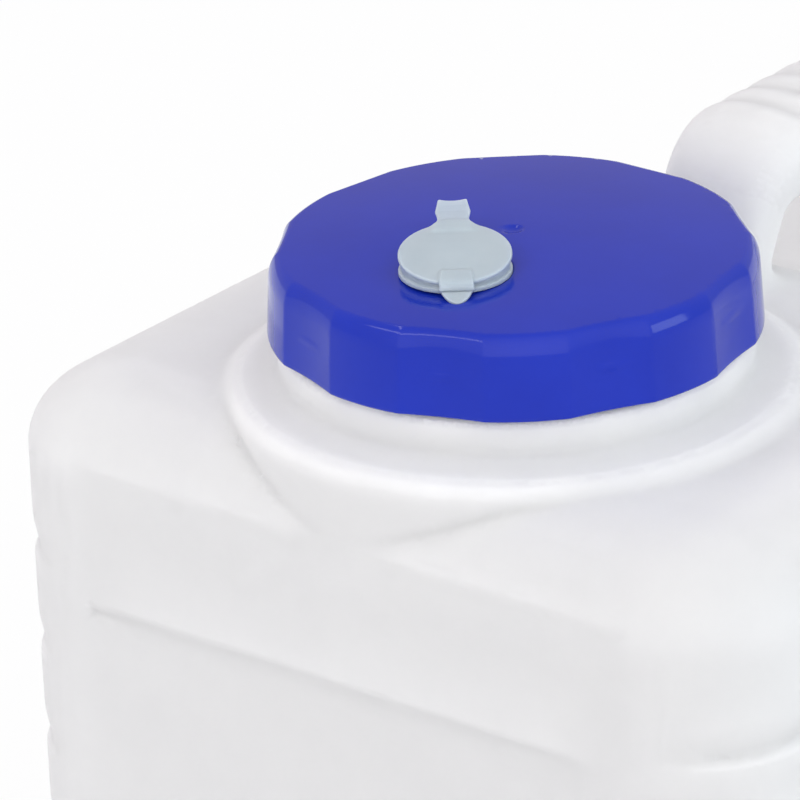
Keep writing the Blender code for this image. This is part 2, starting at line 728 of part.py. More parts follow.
def make_vent():
    frame = vent_frame()
    base = GAP
    flange = base + VENT_SEAT_THICKNESS
    ring_top = flange + VENT_RING_HEIGHT
    tube_radius = VENT_HOLE_RADIUS - GAP
    bore = tube_radius - VENT_TUBE_WALL
    barb = VENT_HOLE_RADIUS + VENT_BARB
    under = -CAP_TOP_WALL - GAP
    tube_end = -VENT_TUBE_LENGTH
    profile = [
        (VENT_RING_RADIUS, ring_top),
        (VENT_RING_RADIUS, flange + GAP),
        (VENT_SEAT_RADIUS, flange),
        (VENT_SEAT_RADIUS, base),
        (tube_radius, base),
        (tube_radius, under),
        (barb, under),
        (tube_radius, tube_end),
        (bore, tube_end),
        (bore, flange),
        (VENT_RING_RADIUS - VENT_RING_WALL, flange),
        (VENT_RING_RADIUS - VENT_RING_WALL, ring_top),
    ]
    seat = turned("vent_seat", profile, VENT)
    thick = VENT_STRAP_THICKNESS / 2
    half = VENT_STRAP_WIDTH / 2
    root = box(
        "hinge_root",
        (-half, -HINGE_OUT - thick, base),
        (half, -VENT_SEAT_RADIUS + 2 * VENT_STRAP_THICKNESS, HINGE_UP - thick - GAP),
        VENT,
    )
    settle(boolean(seat, root, "UNION"))
    seat.data.transform(frame)

    low = ring_top + GAP
    high = low + VENT_LID_THICKNESS
    rim = VENT_LID_RADIUS - 2 * VENT_LID_RIM
    spigot = bore - GAP
    profile = [
        (0, high),
        (rim - VENT_LID_RIM, high),
        (rim, high + VENT_LID_RIM),
        (VENT_LID_RADIUS - VENT_LID_RIM, high + VENT_LID_RIM),
        (VENT_LID_RADIUS, high),
        (VENT_LID_RADIUS, low),
        (spigot, low),
        (spigot, high - VENT_SPIGOT_LENGTH - GAP),
        (spigot - GAP, high - VENT_SPIGOT_LENGTH - VENT_LID_THICKNESS),
        (0, high - VENT_SPIGOT_LENGTH - VENT_LID_THICKNESS),
    ]
    lid = turned("vent_lid", profile, VENT, FINE, closed=False)
    middle = (low + high) / 2
    half = VENT_TAB_WIDTH / 2
    sections = [(VENT_LID_RADIUS - TAB_ROOT, middle, half * TAB_ROOT_WIDTH, thick, 0)]
    for reach, rise, wide, tilt in TAB_STATIONS:
        y = VENT_LID_RADIUS + VENT_TAB_REACH * reach
        sections.append((y, middle + VENT_TAB_RISE * rise, half * wide, thick, tilt))
    boolean(lid, strip("vent_tab", sections, VENT), "UNION")
    half = VENT_STRAP_WIDTH / 2
    upright = math.pi / 2
    strap = strip("vent_strap", [
        (-VENT_LID_RADIUS + 2 * VENT_STRAP_THICKNESS, middle, half, thick, 0),
        (-HINGE_OUT + 2 * thick, middle, half, thick, 0),
        (-HINGE_OUT, middle - thick / 2, half, thick, STRAP_FOLD_TILT),
        (-HINGE_OUT, middle - 2 * thick, half, thick, upright),
        (-HINGE_OUT, HINGE_UP + thick, half, thick, upright),
        (-HINGE_OUT, HINGE_UP - thick, half * STRAP_TIP_WIDTH, thick, upright),
    ], VENT)
    boolean(lid, strap, "UNION")
    settle(lid)
    lid.data.transform(frame)
    pivot = frame @ Vector((0, -HINGE_OUT, HINGE_UP))
    lid.data.transform(Matrix.Translation(-pivot))
    lid.location = pivot


def make_tap_body():
    """Shank, flange, upright barrel and spout in one moulding, bored through."""
    inside_end = TAP_REACH + SHANK_INSIDE
    face = TAP_REACH - WASHER_THICKNESS - 2 * GAP
    neck = SPOUT_RADIUS + RIM_EASE
    profile = [
        (0, inside_end),
        (SHANK_RADIUS - RIM_EASE, inside_end),
        (SHANK_RADIUS, inside_end - RIM_EASE),
        (SHANK_RADIUS, face),
        (FLANGE_RADIUS, face),
        (FLANGE_RADIUS, face - FLANGE_THICKNESS + RIM_EASE),
        (FLANGE_RADIUS - RIM_EASE, face - FLANGE_THICKNESS),
        (neck + RIM_EASE, face - FLANGE_THICKNESS),
        (neck, face - FLANGE_THICKNESS - RIM_EASE),
        (neck, 0),
        (0, 0),
    ]
    body = along_y(turned("tap_body", profile, TAP_WHITE, FINE, closed=False), (0, BARREL_Y, TAP_HEIGHT))
    bottom = -BARREL_DOWN
    barrel = [
        (0, BARREL_UP),
        (BARREL_RADIUS, BARREL_UP),
        (BARREL_RADIUS, bottom),
        (SPOUT_RADIUS, bottom - (BARREL_RADIUS - SPOUT_RADIUS)),
        (SPOUT_RADIUS - RIM_EASE, bottom - SPOUT_LENGTH),
        (0, bottom - SPOUT_LENGTH),
    ]
    upright = turned("tap_barrel", barrel, TAP_WHITE, FINE, (0, BARREL_Y, TAP_HEIGHT), closed=False)
    boolean(body, upright, "UNION")
    inlet = cylinder("tap_inlet", SHANK_BORE, 0, inside_end + SHANK_BORE, TAP_WHITE, COARSE)
    boolean(body, along_y(inlet, (0, BARREL_Y, TAP_HEIGHT)))
    seat = TAP_HEIGHT + bottom
    well = cylinder(
        "rotor_well", BARREL_BORE, seat, TAP_HEIGHT + 2 * BARREL_UP, TAP_WHITE, FINE, (0, BARREL_Y)
    )
    boolean(body, well)
    drain = cylinder(
        "spout_bore", SPOUT_BORE, seat - 2 * SPOUT_LENGTH, seat + SPOUT_BORE, TAP_WHITE, COARSE,
        (0, BARREL_Y)
    )
    boolean(body, drain)
    return settle(body)


def washer(name, place):
    """A tap washer lying along Y from its place on."""
    bore = SHANK_RADIUS + GAP
    profile = [
        (WASHER_RADIUS, WASHER_THICKNESS),
        (WASHER_RADIUS, 0),
        (bore, 0),
        (bore, WASHER_THICKNESS),
    ]
    return along_y(turned(name, profile, SILICONE), place)


def make_tap_fixings():
    washer("tap_outer_washer", (0, PANEL_Y - GAP - WASHER_THICKNESS, TAP_HEIGHT))
    wall_inside = FRONT_Y + FRONT_WALL
    washer("tap_inner_washer", (0, wall_inside + GAP, TAP_HEIGHT))
    nut = cylinder("tap_lock_nut", NUT_RADIUS, 0, NUT_THICKNESS, TAP_WHITE, 6)
    bore = cylinder("nut_bore", SHANK_RADIUS + GAP, -NUT_THICKNESS, 2 * NUT_THICKNESS, TAP_WHITE)
    boolean(nut, bore)
    settle(nut)
    along_y(nut, (0, wall_inside + 2 * GAP + WASHER_THICKNESS, TAP_HEIGHT))


def make_rotor():
    """Plug of the tap with its elbow passage, two seal grooves and the spindle on top."""
    half = ORING_SECTION + GAP / 2
    deep = ROTOR_RADIUS - ORING_GROOVE_DEPTH
    profile = [
        (0, SPINDLE_TOP),
        (SPINDLE_RADIUS, SPINDLE_TOP),
        (SPINDLE_RADIUS, BARREL_UP - GAP),
        (ROTOR_RADIUS, BARREL_UP - GAP),
    ]
    for middle in (ORING_OFFSET, -ORING_OFFSET):
        profile += [
            (ROTOR_RADIUS, middle + half),
            (deep, middle + half),
            (deep, middle - half),
            (ROTOR_RADIUS, middle - half),
        ]
    profile += [(ROTOR_RADIUS, GAP - BARREL_DOWN), (0, GAP - BARREL_DOWN)]
    rotor = turned("tap_rotor", profile, TAP_WHITE, FINE, closed=False)
    drain = cylinder("rotor_drain", ROTOR_PORT, -2 * BARREL_DOWN, ROTOR_PORT - RIM_EASE, TAP_WHITE, COARSE)
    boolean(rotor, drain)
    port = cylinder("rotor_port", ROTOR_PORT, 0, 2 * ROTOR_RADIUS, TAP_WHITE, COARSE)
    port.data.transform(Matrix.Rotation(-math.pi / 2, 4, "Y"))
    boolean(rotor, port)
    thread = cylinder(
        "spindle_hole", SCREW_SHANK_RADIUS + GAP, SPINDLE_TOP - SCREW_LENGTH, LEVER_TOP, TAP_WHITE, COARSE
    )
    boolean(rotor, thread)
    settle(rotor)
    rotor.location = (0, BARREL_Y, TAP_HEIGHT)


def make_orings():
    outer = ROTOR_RADIUS + GAP / 3
    for name, middle in (("rotor_upper_oring", ORING_OFFSET), ("rotor_lower_oring", -ORING_OFFSET)):
        shape = []
        for i in range(8):
            angle = math.pi / 2 - 2 * math.pi * i / 8
            reach = outer - ORING_SECTION + ORING_SECTION * math.cos(angle)
            shape.append((reach, middle + ORING_SECTION * math.sin(angle)))
        turned(name, shape, BLACK_RUBBER, FINE, (0, BARREL_Y, TAP_HEIGHT))


def make_bonnet():
    """Knurled ring that screws over the barrel and keeps the rotor down."""
    low = BONNET_TOP_Z - BONNET_HEIGHT
    rings = []
    for radius, height in ((BONNET_RADIUS, low), (BONNET_RADIUS, BONNET_TOP_Z - RIM_EASE)):
        points = []
        for i in range(2 * BONNET_KNURLS):
            angle = math.pi * i / BONNET_KNURLS
            reach = radius - (i % 2) * RIM_EASE / 2
            points.append((reach * math.cos(angle), reach * math.sin(angle), height))
        rings.append(points)
    rings.append([
        (x * (1 - RIM_EASE / BONNET_RADIUS), y * (1 - RIM_EASE / BONNET_RADIUS), BONNET_TOP_Z)
        for x, y, _ in rings[-1]
    ])
    bonnet = loft("tap_bonnet", rings, BLUE, 25)
    hollow = cylinder("bonnet_hollow", BARREL_RADIUS + GAP, low - BONNET_HEIGHT, BARREL_UP + GAP, BLUE)
    boolean(bonnet, hollow)
    boolean(bonnet, cylinder("bonnet_hole", SPINDLE_RADIUS + GAP, 0, 2 * BONNET_TOP_Z, BLUE, COARSE))
    settle(bonnet)
    bonnet.location = (0, BARREL_Y, TAP_HEIGHT)


def make_lever():
    """Hub on the spindle and a blade that points along +X when the tap is shut."""
    hub_low = BONNET_TOP_Z + GAP
    profile = [
        (0, LEVER_TOP),
        (LEVER_HUB_RADIUS - RIM_EASE, LEVER_TOP),
        (LEVER_HUB_RADIUS, LEVER_TOP - RIM_EASE),
        (LEVER_HUB_RADIUS, hub_low),
        (0, hub_low),
    ]
    lever = turned("tap_lever", profile, BLUE, FINE, closed=False)
    middle = LEVER_TOP - LEVER_THICKNESS / 2 - RIM_EASE
    half = LEVER_WIDTH / 2
    thick = LEVER_THICKNESS / 2
    rings = []
    for along, rise, wide, deep in LEVER_STATIONS:
        points = []
        for i in range(LEVER_SECTION_POINTS):
            angle = 2 * math.pi * i / LEVER_SECTION_POINTS
            y = half * wide * math.copysign(math.sqrt(abs(math.cos(angle))), math.cos(angle))
            z = thick * deep * math.copysign(math.sqrt(abs(math.sin(angle))), math.sin(angle))
            points.append((LEVER_LENGTH * along, y, middle + LEVER_RISE * rise + z))
        rings.append(points)
    boolean(lever, loft("lever_blade", rings, BLUE), "UNION")
    socket = cylinder("spindle_socket", SPINDLE_RADIUS + GAP, 0, SPINDLE_TOP + GAP, BLUE, COARSE)
    boolean(lever, socket)
    boolean(lever, cylinder("screw_hole", SCREW_SHANK_RADIUS + GAP, 0, 2 * LEVER_TOP, BLUE, COARSE))
    settle(lever)
    lever.location = (0, BARREL_Y, TAP_HEIGHT)


def make_lever_screw():
    base = LEVER_TOP + GAP
    profile = [
        (0, base + SCREW_HEAD_HEIGHT),
        (SCREW_HEAD_RADIUS - SCREW_HEAD_EASE, base + SCREW_HEAD_HEIGHT),
        (SCREW_HEAD_RADIUS, base + SCREW_HEAD_HEIGHT - SCREW_HEAD_EASE),
        (SCREW_HEAD_RADIUS, base),
        (SCREW_SHANK_RADIUS, base),
        (SCREW_SHANK_RADIUS, base - SCREW_LENGTH),
        (0, base - SCREW_LENGTH),
    ]
    screw = turned("lever_screw", profile, STEEL, COARSE, closed=False)
    half = SCREW_SLOT / 2
    depth = SCREW_HEAD_HEIGHT / 2
    top = base + SCREW_HEAD_HEIGHT
    for name, x, y in (("slot_x", SCREW_SLOT_REACH, half), ("slot_y", half, SCREW_SLOT_REACH)):
        boolean(screw, box(name, (-x, -y, top - depth), (x, y, top + depth), STEEL))
    settle(screw)
    screw.location = (0, BARREL_Y, TAP_HEIGHT)


make_tank()
make_cap()
make_vent()
make_tap_body()
make_tap_fixings()
make_rotor()
make_orings()
make_bonnet()
make_lever()
make_lever_screw()
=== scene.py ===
"""Looks of the wide-mouth water canister: camera, studio, materials and moulded forms.

Metres, +Z up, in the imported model's frame. Each moulded form is a field: a function of x, y
and z that is negative inside the plastic and is meshed where it is zero.
"""

import json
import math

import bpy
import numpy as np
import openvdb as vdb
from mathutils import Matrix, Vector


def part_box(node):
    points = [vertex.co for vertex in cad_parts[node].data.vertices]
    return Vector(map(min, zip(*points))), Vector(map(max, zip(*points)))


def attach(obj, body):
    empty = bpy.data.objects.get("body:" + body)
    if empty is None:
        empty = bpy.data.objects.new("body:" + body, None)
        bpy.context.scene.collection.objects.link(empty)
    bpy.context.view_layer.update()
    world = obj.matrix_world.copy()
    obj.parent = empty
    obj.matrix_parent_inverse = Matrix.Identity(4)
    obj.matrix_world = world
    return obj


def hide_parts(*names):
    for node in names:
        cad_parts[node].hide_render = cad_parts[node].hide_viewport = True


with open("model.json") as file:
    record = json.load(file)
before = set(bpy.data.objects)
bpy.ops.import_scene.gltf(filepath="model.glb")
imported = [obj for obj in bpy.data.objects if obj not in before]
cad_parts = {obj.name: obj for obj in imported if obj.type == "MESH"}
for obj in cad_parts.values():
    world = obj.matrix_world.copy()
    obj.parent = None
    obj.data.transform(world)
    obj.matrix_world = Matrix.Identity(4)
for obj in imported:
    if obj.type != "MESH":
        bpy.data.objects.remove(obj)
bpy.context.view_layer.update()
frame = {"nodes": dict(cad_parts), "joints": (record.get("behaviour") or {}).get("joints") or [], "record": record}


def joint_place(name):
    """Where a joint's axis runs."""
    return next(j["pos_m"] for j in frame["joints"] if j["name"] == name)


# Places taken from the frame
TANK_LOW, TANK_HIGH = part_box("tank_body")
HALF_WIDTH = TANK_HIGH.x
FRONT_Y = TANK_LOW.y
BACK_Y = TANK_HIGH.y
HANDLE_TOP = TANK_HIGH.z
MIDDLE_Y = (FRONT_Y + BACK_Y) / 2
HALF_LENGTH = (BACK_Y - FRONT_Y) / 2
_, CAP_Y, CAP_Z = joint_place("cap_turn")
_, TAP_Y, TAP_Z = joint_place("tap_turn")

# Meshing
MARGIN = 2.5  # cells round a form
SLAB = 24  # cells that are sampled at a time
BAND = 3  # cells on each side of a surface that keep their value
SETTLE_ROUNDS = 3  # in which points are moved on to the exact field
SLOPE_STEP = 2e-5  # to each side of a point where a field's slope is taken
TINY = 1e-9  # this and the next keep divisions defined
SLIVER = 1e-6
TANK_MESH = (0.0012, 0.01)  # cell size and how far flat parts may be simplified
HOLLOW_MESH = (0.0030, 0.02)
CAP_MESH = (0.00055, 0.0025)
SEAT_MESH = (0.00028, 0.006)
LID_MESH = (0.00028, 0.004)
TAP_MESH = (0.00042, 0.006)
BONNET_MESH = (0.00032, 0.006)
LEVER_MESH = (0.00036, 0.006)
SCREW_MESH = (0.00015, 0.006)
SMALL_SPARE = 0.004  # round the box of a small moulding's node
SAME_FACING = 0.86  # cosine from which a field's normal counts as that of a face
ON_SURFACE = 0.0003  # largest distance from it

# Radii of small edges and fillets
HAIR = 0.0002
FINE = 0.0003
CRISP = 0.0004
THIN = 0.0005
SMALL = 0.0006
EASED = 0.0008
ROUND = 0.0010
SOFT = 0.0012

# Body
PLATEAU = CAP_Z - 0.015
DECK = PLATEAU - 0.038
SLOPE_START = CAP_Y + 0.084
SLOPE_LENGTH = 0.082
CORNER = 0.030
SHOULDER_ACROSS = 0.030
SHOULDER_DOWN = 0.021
FOOT = 0.014
WALL = 0.0025
PANEL_DEPTH = 0.0006
PANEL_HALF_WIDTH = 0.083
PANEL_TOP = 0.2488
PANEL_FOOT = 0.022
PANEL_CORNER = 0.008  # height over which its left edge softens
PANEL_EASE = 0.0020  # at its upper edge
PANEL_SIDE_EASE = 0.0240
FOOT_RECESS = 0.002
FOOT_RECESS_EDGE = 0.003
STAND = 0.0002
FOOT_RIM = 0.024
WAVE = 0.00016  # height of the shallow unevenness of blown walls
WAVE_LEVEL = 1.2  # times that height by which the walls lie further in
WAVE_X = (47, 1.3)  # radians a metre and phase
WAVE_Y = (53, 2.1)
WAVE_Z = ((61, 0.4), (39, 1.7))
PARTING_RIDGE = 0.00008
PARTING_WIDTH = 0.0008
PARTING_FADE = 0.01
HOLE_SPARE = 0.01  # reach of the neck's bore and the tap's hole past what they cut
TAP_HOLE = 0.0108  # its radius
FRONT_SPARE = 0.002  # of the meshed box before the front wall

# Moulded grooves
GROOVES = 7
GROOVE_TOP = PLATEAU - 0.0474
GROOVE_PITCH = 0.0265
GROOVE_DEPTH = 0.0014
GROOVE_STEP = 0.0030  # below its bottom
GROOVE_FLANK = 0.0084  # above its bottom
TOP_GROOVE_FADE = (CAP_Y + 0.062, CAP_Y + 0.120)
GROOVE_ARC = (0.10, 0.55)  # shares of the front corner over which the grooves begin

# Collar, bead, neck and thread
COLLAR_RADIUS = 0.0709
COLLAR_TOP = CAP_Z - 0.0114
COLLAR_ROUND = 0.0044
COLLAR_FILLET = 0.0050
COLLAR_BLEND = 0.040  # distance from the front wall over which its fillet grows
COLLAR_BLEND_LEAST = 0.12  # share of the fillet that is there from the start
COLLAR_LOW = PLATEAU - 0.026
COVE_MIDDLE = 0.0682
COVE_RADIUS = 0.0200
COVE_Z = CAP_Z + 0.0086
COVE_EDGE = 0.0016
BEAD_RADIUS = 0.0582
BEAD_TOP = CAP_Z - 0.0010
BEAD_ROUND = 0.0014
BEAD_FILLET = 0.0020
NECK_RADIUS = 0.0540
NECK_BORE = 0.0514
RIM_Z = CAP_Z + 0.0162
RIM_ROUND = 0.0010
THREAD_PITCH = 0.0065
THREAD_RADIUS = 0.0017
THREAD_TURNS = 1.6
THREAD_START = CAP_Z + 0.0018
THREAD_STAND = 0.0004
THREAD_TAPER = 0.06  # turns over which its ends rise
THREAD_END = 0.35  # share of that rise that they begin with

# Handle
HANDLE_HALF_WIDTH = 0.0190
HANDLE_HALF_HEIGHT = 0.0118
HANDLE_POWER = 2.5
HANDLE_FRONT = CAP_Y + 0.0850
HANDLE_REAR = BACK_Y - 0.0346
HANDLE_BEND = 0.0155
HANDLE_LEAN = math.radians(32)
HANDLE_ROOT_LEAN = math.radians(2)
HANDLE_FOOT = 0.0360
HANDLE_FOOT_SHARE = 0.88
HANDLE_FILLET = 0.0058
HANDLE_FOOT_STEPS = 12
HANDLE_BEND_STEPS = 16
GRIP_NOTCHES = 8
GRIP_START = CAP_Y + 0.1064
GRIP_END = HANDLE_REAR - 0.0378
GRIP_PITCH = (GRIP_END - GRIP_START) / (GRIP_NOTCHES - 1)
GRIP_DEPTH = 0.0010
GRIP_NOTCH = 0.0031

# Cap
CAP_RADIUS = 0.060
CAP_HEIGHT = 0.0215
CAP_CROWN = 0.0033
CAP_TAPER = 0.021
CAP_EDGE = 0.0029
CAP_EDGE_DOWN = 0.0058
CAP_FOOT_EDGE = 0.0009
CAP_SPARE = 1.012  # share by which the meshed box is wider than the cap
CAP_BORE = 0.0572
CAP_CEILING = RIM_Z + 0.0020
CAP_TOP_WALL = 0.0030
CAP_CEILING_RADIUS = 0.0452
CAP_LOBES = 9
LOBE_RADIUS = CAP_RADIUS + 0.0006
FLUTE_FACING = math.radians(-29.9)
FLUTE_HALF = math.radians(10.2)
FLUTE_DEPTH = 0.0015
FLUTE_BLEND = 0.10
FLUTE_FADE = 0.0050
FLUTE_AT_TOP = 0.75
GATE_RADIUS = 0.0023
GATE_DEPTH = 0.0009
CROWN_RADIUS = CAP_RADIUS - 0.0040
DISH_DEPTH = 0.0010  # broad sink of the top round the vent
DISH_RADIUS = 0.018

# Vent
VENT_OUT = 0.0265
VENT_BEARING = math.radians(-83.9)
VENT_FACING = math.radians(39.1)
VENT_X = VENT_OUT * math.cos(VENT_BEARING)
VENT_Y = CAP_Y + VENT_OUT * math.sin(VENT_BEARING)
VENT_SHARE = 1 - (VENT_OUT / CROWN_RADIUS) ** 2
SPOT_DEPTH = 0.00095
SPOT_Z = CAP_Z + CAP_HEIGHT + CAP_CROWN * VENT_SHARE - SPOT_DEPTH
SPOT_RADIUS = 0.0138
VENT_HOLE = 0.0080
SEAT_RADIUS = 0.0137
SEAT_THICKNESS = 0.0013
SEAT_RING = 0.0131
SEAT_RING_WALL = 0.0019
SEAT_RING_LOW = 0.0003
SEAT_LOW = 0.0001  # height of its underside and radius of that edge
SEAT_FLOOR = 0.0015
TUBE_RADIUS = 0.0077
TUBE_BORE = 0.0057
TUBE_LENGTH = 0.0062
TUBE_BARB = 0.0086
BARB_SLOPE = 0.25
BARB_TOP = 0.0033
BARB_MIDDLE = 0.0048
BARB_HALF = 0.0014
LID_RADIUS = 0.0137
LID_THICKNESS = 0.0010
LID_LOW = 0.0042
LID_DOME = 0.0005
LID_SLANT = math.tan(math.radians(8.5))  # its rear edge is the higher one
LID_GAP = 0.00025
PLUG_RADIUS = 0.0054
PLUG_LOW = 0.0002
PLUG_EDGE = 0.0009
PLUG_HOLLOW = 0.0040
PLUG_HOLLOW_TOP = 0.0030
TAB_LINE = (  # reach from the vent's axis and height
    (0.0105, 0.00638), (0.0135, 0.00688), (0.0165, 0.00726), (0.0190, 0.00770),
    (0.0211, 0.00835), (0.0226, 0.00905), (0.0238, 0.00968), (0.0250, 0.01035),
)
TAB_END = 0.0132  # along that line
TAB_WIDTHS = ((0.0, 0.0046), (0.0030, 0.0042), (0.0058, 0.0038), (0.0088, 0.0043), (0.0132, 0.0035))
TAB_HALF = 0.00048
TAB_HOLLOW = 0.0006
TAB_FILLET = 0.0022
STRAP_LINE = (
    (-0.0094, 0.00390), (-0.0124, 0.00343), (-0.0136, 0.00318), (-0.0143, 0.00270), (-0.0146, 0.00215),
    (-0.0147, 0.00175),
)
STRAP_WIDTHS = ((0.0, 0.0036), (0.0030, 0.0040), (0.0060, 0.0042))
STRAP_HALF = 0.00050
STRAP_FILLET = 0.0009
RIBBON_EDGE = 0.9  # share of its half thickness
TONGUE_LINE = (
    (-0.0120, 0.00075), (-0.0142, 0.00110), (-0.0149, 0.00100), (-0.0156, 0.00060), (-0.0165, 0.00008),
    (-0.0175, -0.00045), (-0.0187, -0.00100),
)
TONGUE_END = 0.0066
TONGUE_HALF = 0.00048
TONGUE_WIDE = 0.0043
TONGUE_POINT = (1.9, 0.62)  # powers of its rounded point
TONGUE_TOP = 0.00135

# Tap, heights from its axis
BARREL_RADIUS = 0.0112
BARREL_TOP = 0.0145
BARREL_FOOT = -0.0110
BARREL_FOOT_DROP = 0.0022
BARREL_FOOT_EDGE = 0.0026
WELL_RADIUS = 0.0084
SPOUT_RADIUS = 0.0086
SPOUT_END = -0.0310
SPOUT_BORE = 0.0062
SPOUT_TAPER = 0.0008
LIP_RADIUS = 0.0078
LIP_RISE = 0.0012
LIP_HALF = 0.0008
SHANK_RADIUS = 0.0105
SHANK_END = 0.0465  # from the barrel's middle
SHANK_PITCH = 0.0020
SHANK_THREAD = 0.0005
SHANK_THREAD_START = 0.0045  # from the flange
SHANK_THREAD_FADE = 0.002
SHANK_CREST = 1.4
SHANK_ROOT = 0.2
FLANGE_RADIUS = 0.0165
FLANGE_START = 0.0244
FLANGE_END = 0.0274
FLANGE_FILLET = 0.0014
ARM_RADIUS = 0.0094
ARM_FILLET = 0.0028
BONNET_RADIUS = 0.0128
BONNET_TOP = 0.0166
BONNET_HEIGHT = 0.0068
BONNET_HOLLOW = 0.0115
BONNET_KNURLS = 24
BONNET_GAP = 0.0003
KNURL_DEPTH = 0.00055
KNURL_START = 0.45
KNURL_RISE = 0.5
KNURL_FADE = 0.0006
SPINDLE_HOLE = 0.0045
HUB_RADIUS = 0.0090
HUB_LOW = 0.0169
HUB_HEIGHT = 0.0090
HUB_EDGE = 0.0016
SOCKET_TOP = 0.0234
LEVER_LINE = (  # reach along +X, height and half thickness
    (0.0, 0.0225, 0.0026), (0.0090, 0.0226, 0.0026), (0.0180, 0.0240, 0.0024), (0.0270, 0.0268, 0.0021),
    (0.0335, 0.0283, 0.0018), (0.0390, 0.0285, 0.0015),
)
LEVER_END = 0.0360
LEVER_ROUND = 0.0060
LEVER_EDGE = 0.0016
LEVER_FILLET = 0.0026
LEVER_HALF_WIDTHS = ((0.0, 0.0044), (0.0130, 0.0045), (0.0250, 0.0053), (0.0360, 0.0054))
LEVER_GRIP_START = 0.0215
LEVER_GRIP_END = 0.0335
LEVER_GRIP_PITCH = 0.0021
LEVER_GRIP_FADE = 0.002
LEVER_GRIP_DEPTH = 0.00018
SCREW_HOLE = 0.0016
SCREW_BASE = 0.0262
SCREW_HEAD = 0.0034
SCREW_HEIGHT = 0.0020
SCREW_SHANK = 0.0013
SCREW_LENGTH = 0.0070
SCREW_OVERLAP = 0.0002  # of the shank with its head
CROSS_HALF = 0.0004
CROSS_SLOPE = 0.25
CROSS_REACH = 0.0018
CROSS_FLOOR = 0.0008

# Studio
CAMERA_AZIMUTH = math.radians(39.12)
CAMERA_ELEVATION = math.radians(23.76)
CAMERA_ROLL = math.radians(-2.14)
CAMERA_DISTANCE = 1.582
CAMERA_LENS = 292.5
CAMERA_SENSOR = 36
AIM_RIGHT = -0.02816  # cap's foot to the middle of the picture
AIM_UP = -0.01884
SKY_BASE = (0.17, 0.17, 0.17)
SKY_GLOWS = (  # aim to the right, to the front and up, and the colour there
    ((0.0, 1.0, 0.14), (1.68, 1.66, 1.67)),
    ((-1.0, 0.0, 0.20), (0.63, 0.625, 0.645)),
    ((1.0, 0.0, 0.40), (0.61, 0.67, 0.71)),
    ((0.0, -1.0, 0.35), (0.30, 0.24, 0.27)),
    ((0.0, 0.0, 1.0), (0.595, 0.58, 0.58)),
)
WARM = (1.0, 0.975, 0.975)
COOL = (0.82, 0.95, 1.0)
LAMP_AIM = (0, CAP_Y, 0.25)
LAMPS = (  # name, place as for the glows, size, power and colour
    ("high_skylight", (-0.80, -0.20, 2.16), (1.3, 0.17), 2.75, WARM),
    ("low_skylight", (-1.32, 0.87, 1.56), (1.3, 0.17), 2.75, WARM),
    ("right_window", (2.0, 0.75, 0.75), (0.80, 0.75), 5.0, COOL),
)
FLOOR_REACH = 8.0
FLOOR_GREY = 0.84
FLOOR_ROUGHNESS = 0.9
FLOOR_WHITE = 0.86  # share of plain white where it is seen

# Materials
EVEN = (1.0, 1.0, 1.0)  # light of all colours reaches as far into a translucent plastic
CLOUD = (12, 4, 0.6)  # noise: times coarser than the grain, detail and roughness
CLOUD_SPREAD = (0.35, 0.65)
GLOSS = (5, 5, 0.65)
RELIEF = (1, 3, 0.45)


def smooth_step(share):
    share = np.clip(share, 0, 1)
    return share * share * (3 - 2 * share)


def length(*parts):
    return np.sqrt(sum(part * part for part in parts))


def both(a, b, across, down=None):
    """Inside a and inside b, with the edge between them rounded."""
    down = down or across
    u = np.maximum(a / across + 1, 0)
    v = np.maximum(b / down + 1, 0)
    square = np.maximum(u * u + v * v, TINY)
    size = (across * u * u + down * v * v) / square
    curved = (np.sqrt(square) - 1) * size
    return np.where((u > 0) & (v > 0), curved, np.maximum(a, b))


def either(a, b, fillet):
    """Inside a or inside b, with a fillet between them."""
    near = np.maximum(fillet - np.abs(a - b), 0) / fillet
    return np.minimum(a, b) - near * near * fillet / 4


def cut(a, tool, fillet):
    return -either(-a, tool, fillet)


def mesh_field(name, field, low, high, fineness):
    """The form where a field is zero, with its points and normals settled on the exact field."""
    cell, adapt = fineness
    low = np.array(low, float) - MARGIN * cell
    counts = np.ceil((np.array(high, float) + MARGIN * cell - low) / cell).astype(int)
    axes = [low[i] + cell * np.arange(counts[i]) for i in range(3)]
    values = np.empty(counts, np.float32)
    for start in range(0, counts[0], SLAB):
        block = axes[0][start:start + SLAB, None, None]
        values[start:start + SLAB] = field(block, axes[1][None, :, None], axes[2][None, None, :])
    band = BAND * cell
    grid = vdb.FloatGrid(band)
    grid.copyFromArray(np.clip(values, -band, band), tolerance=0.0)
    points, triangles, quads = grid.convertToPolygons(0.0, adapt)
    points = low + cell * points.astype(float)
    for _ in range(SETTLE_ROUNDS):
        slope, value = gradient(field, points)
        size = np.maximum((slope * slope).sum(1), SLIVER)
        move = np.clip(value / size, -cell / 2, cell / 2)
        points -= slope * move[:, None]
    faces = [face[::-1] for face in triangles.tolist()] + [face[::-1] for face in quads.tolist()]
    mesh = bpy.data.meshes.new(name)
    mesh.from_pydata(points.tolist(), [], faces)
    slope, _ = gradient(field, points)
    slope /= np.maximum(np.linalg.norm(slope, axis=1), TINY)[:, None]
    facing = np.empty(len(mesh.polygons) * 3)
    mesh.polygons.foreach_get("normal", facing)
    first = np.array([face[0] for face in faces])
    if (facing.reshape(-1, 3) * slope[first]).sum() < 0:
        mesh.flip_normals()
    mesh.shade_smooth()
    mesh.normals_split_custom_set_from_vertices(slope.tolist())
    made = bpy.data.objects.new(name, mesh)
    bpy.context.scene.collection.objects.link(made)
    return made


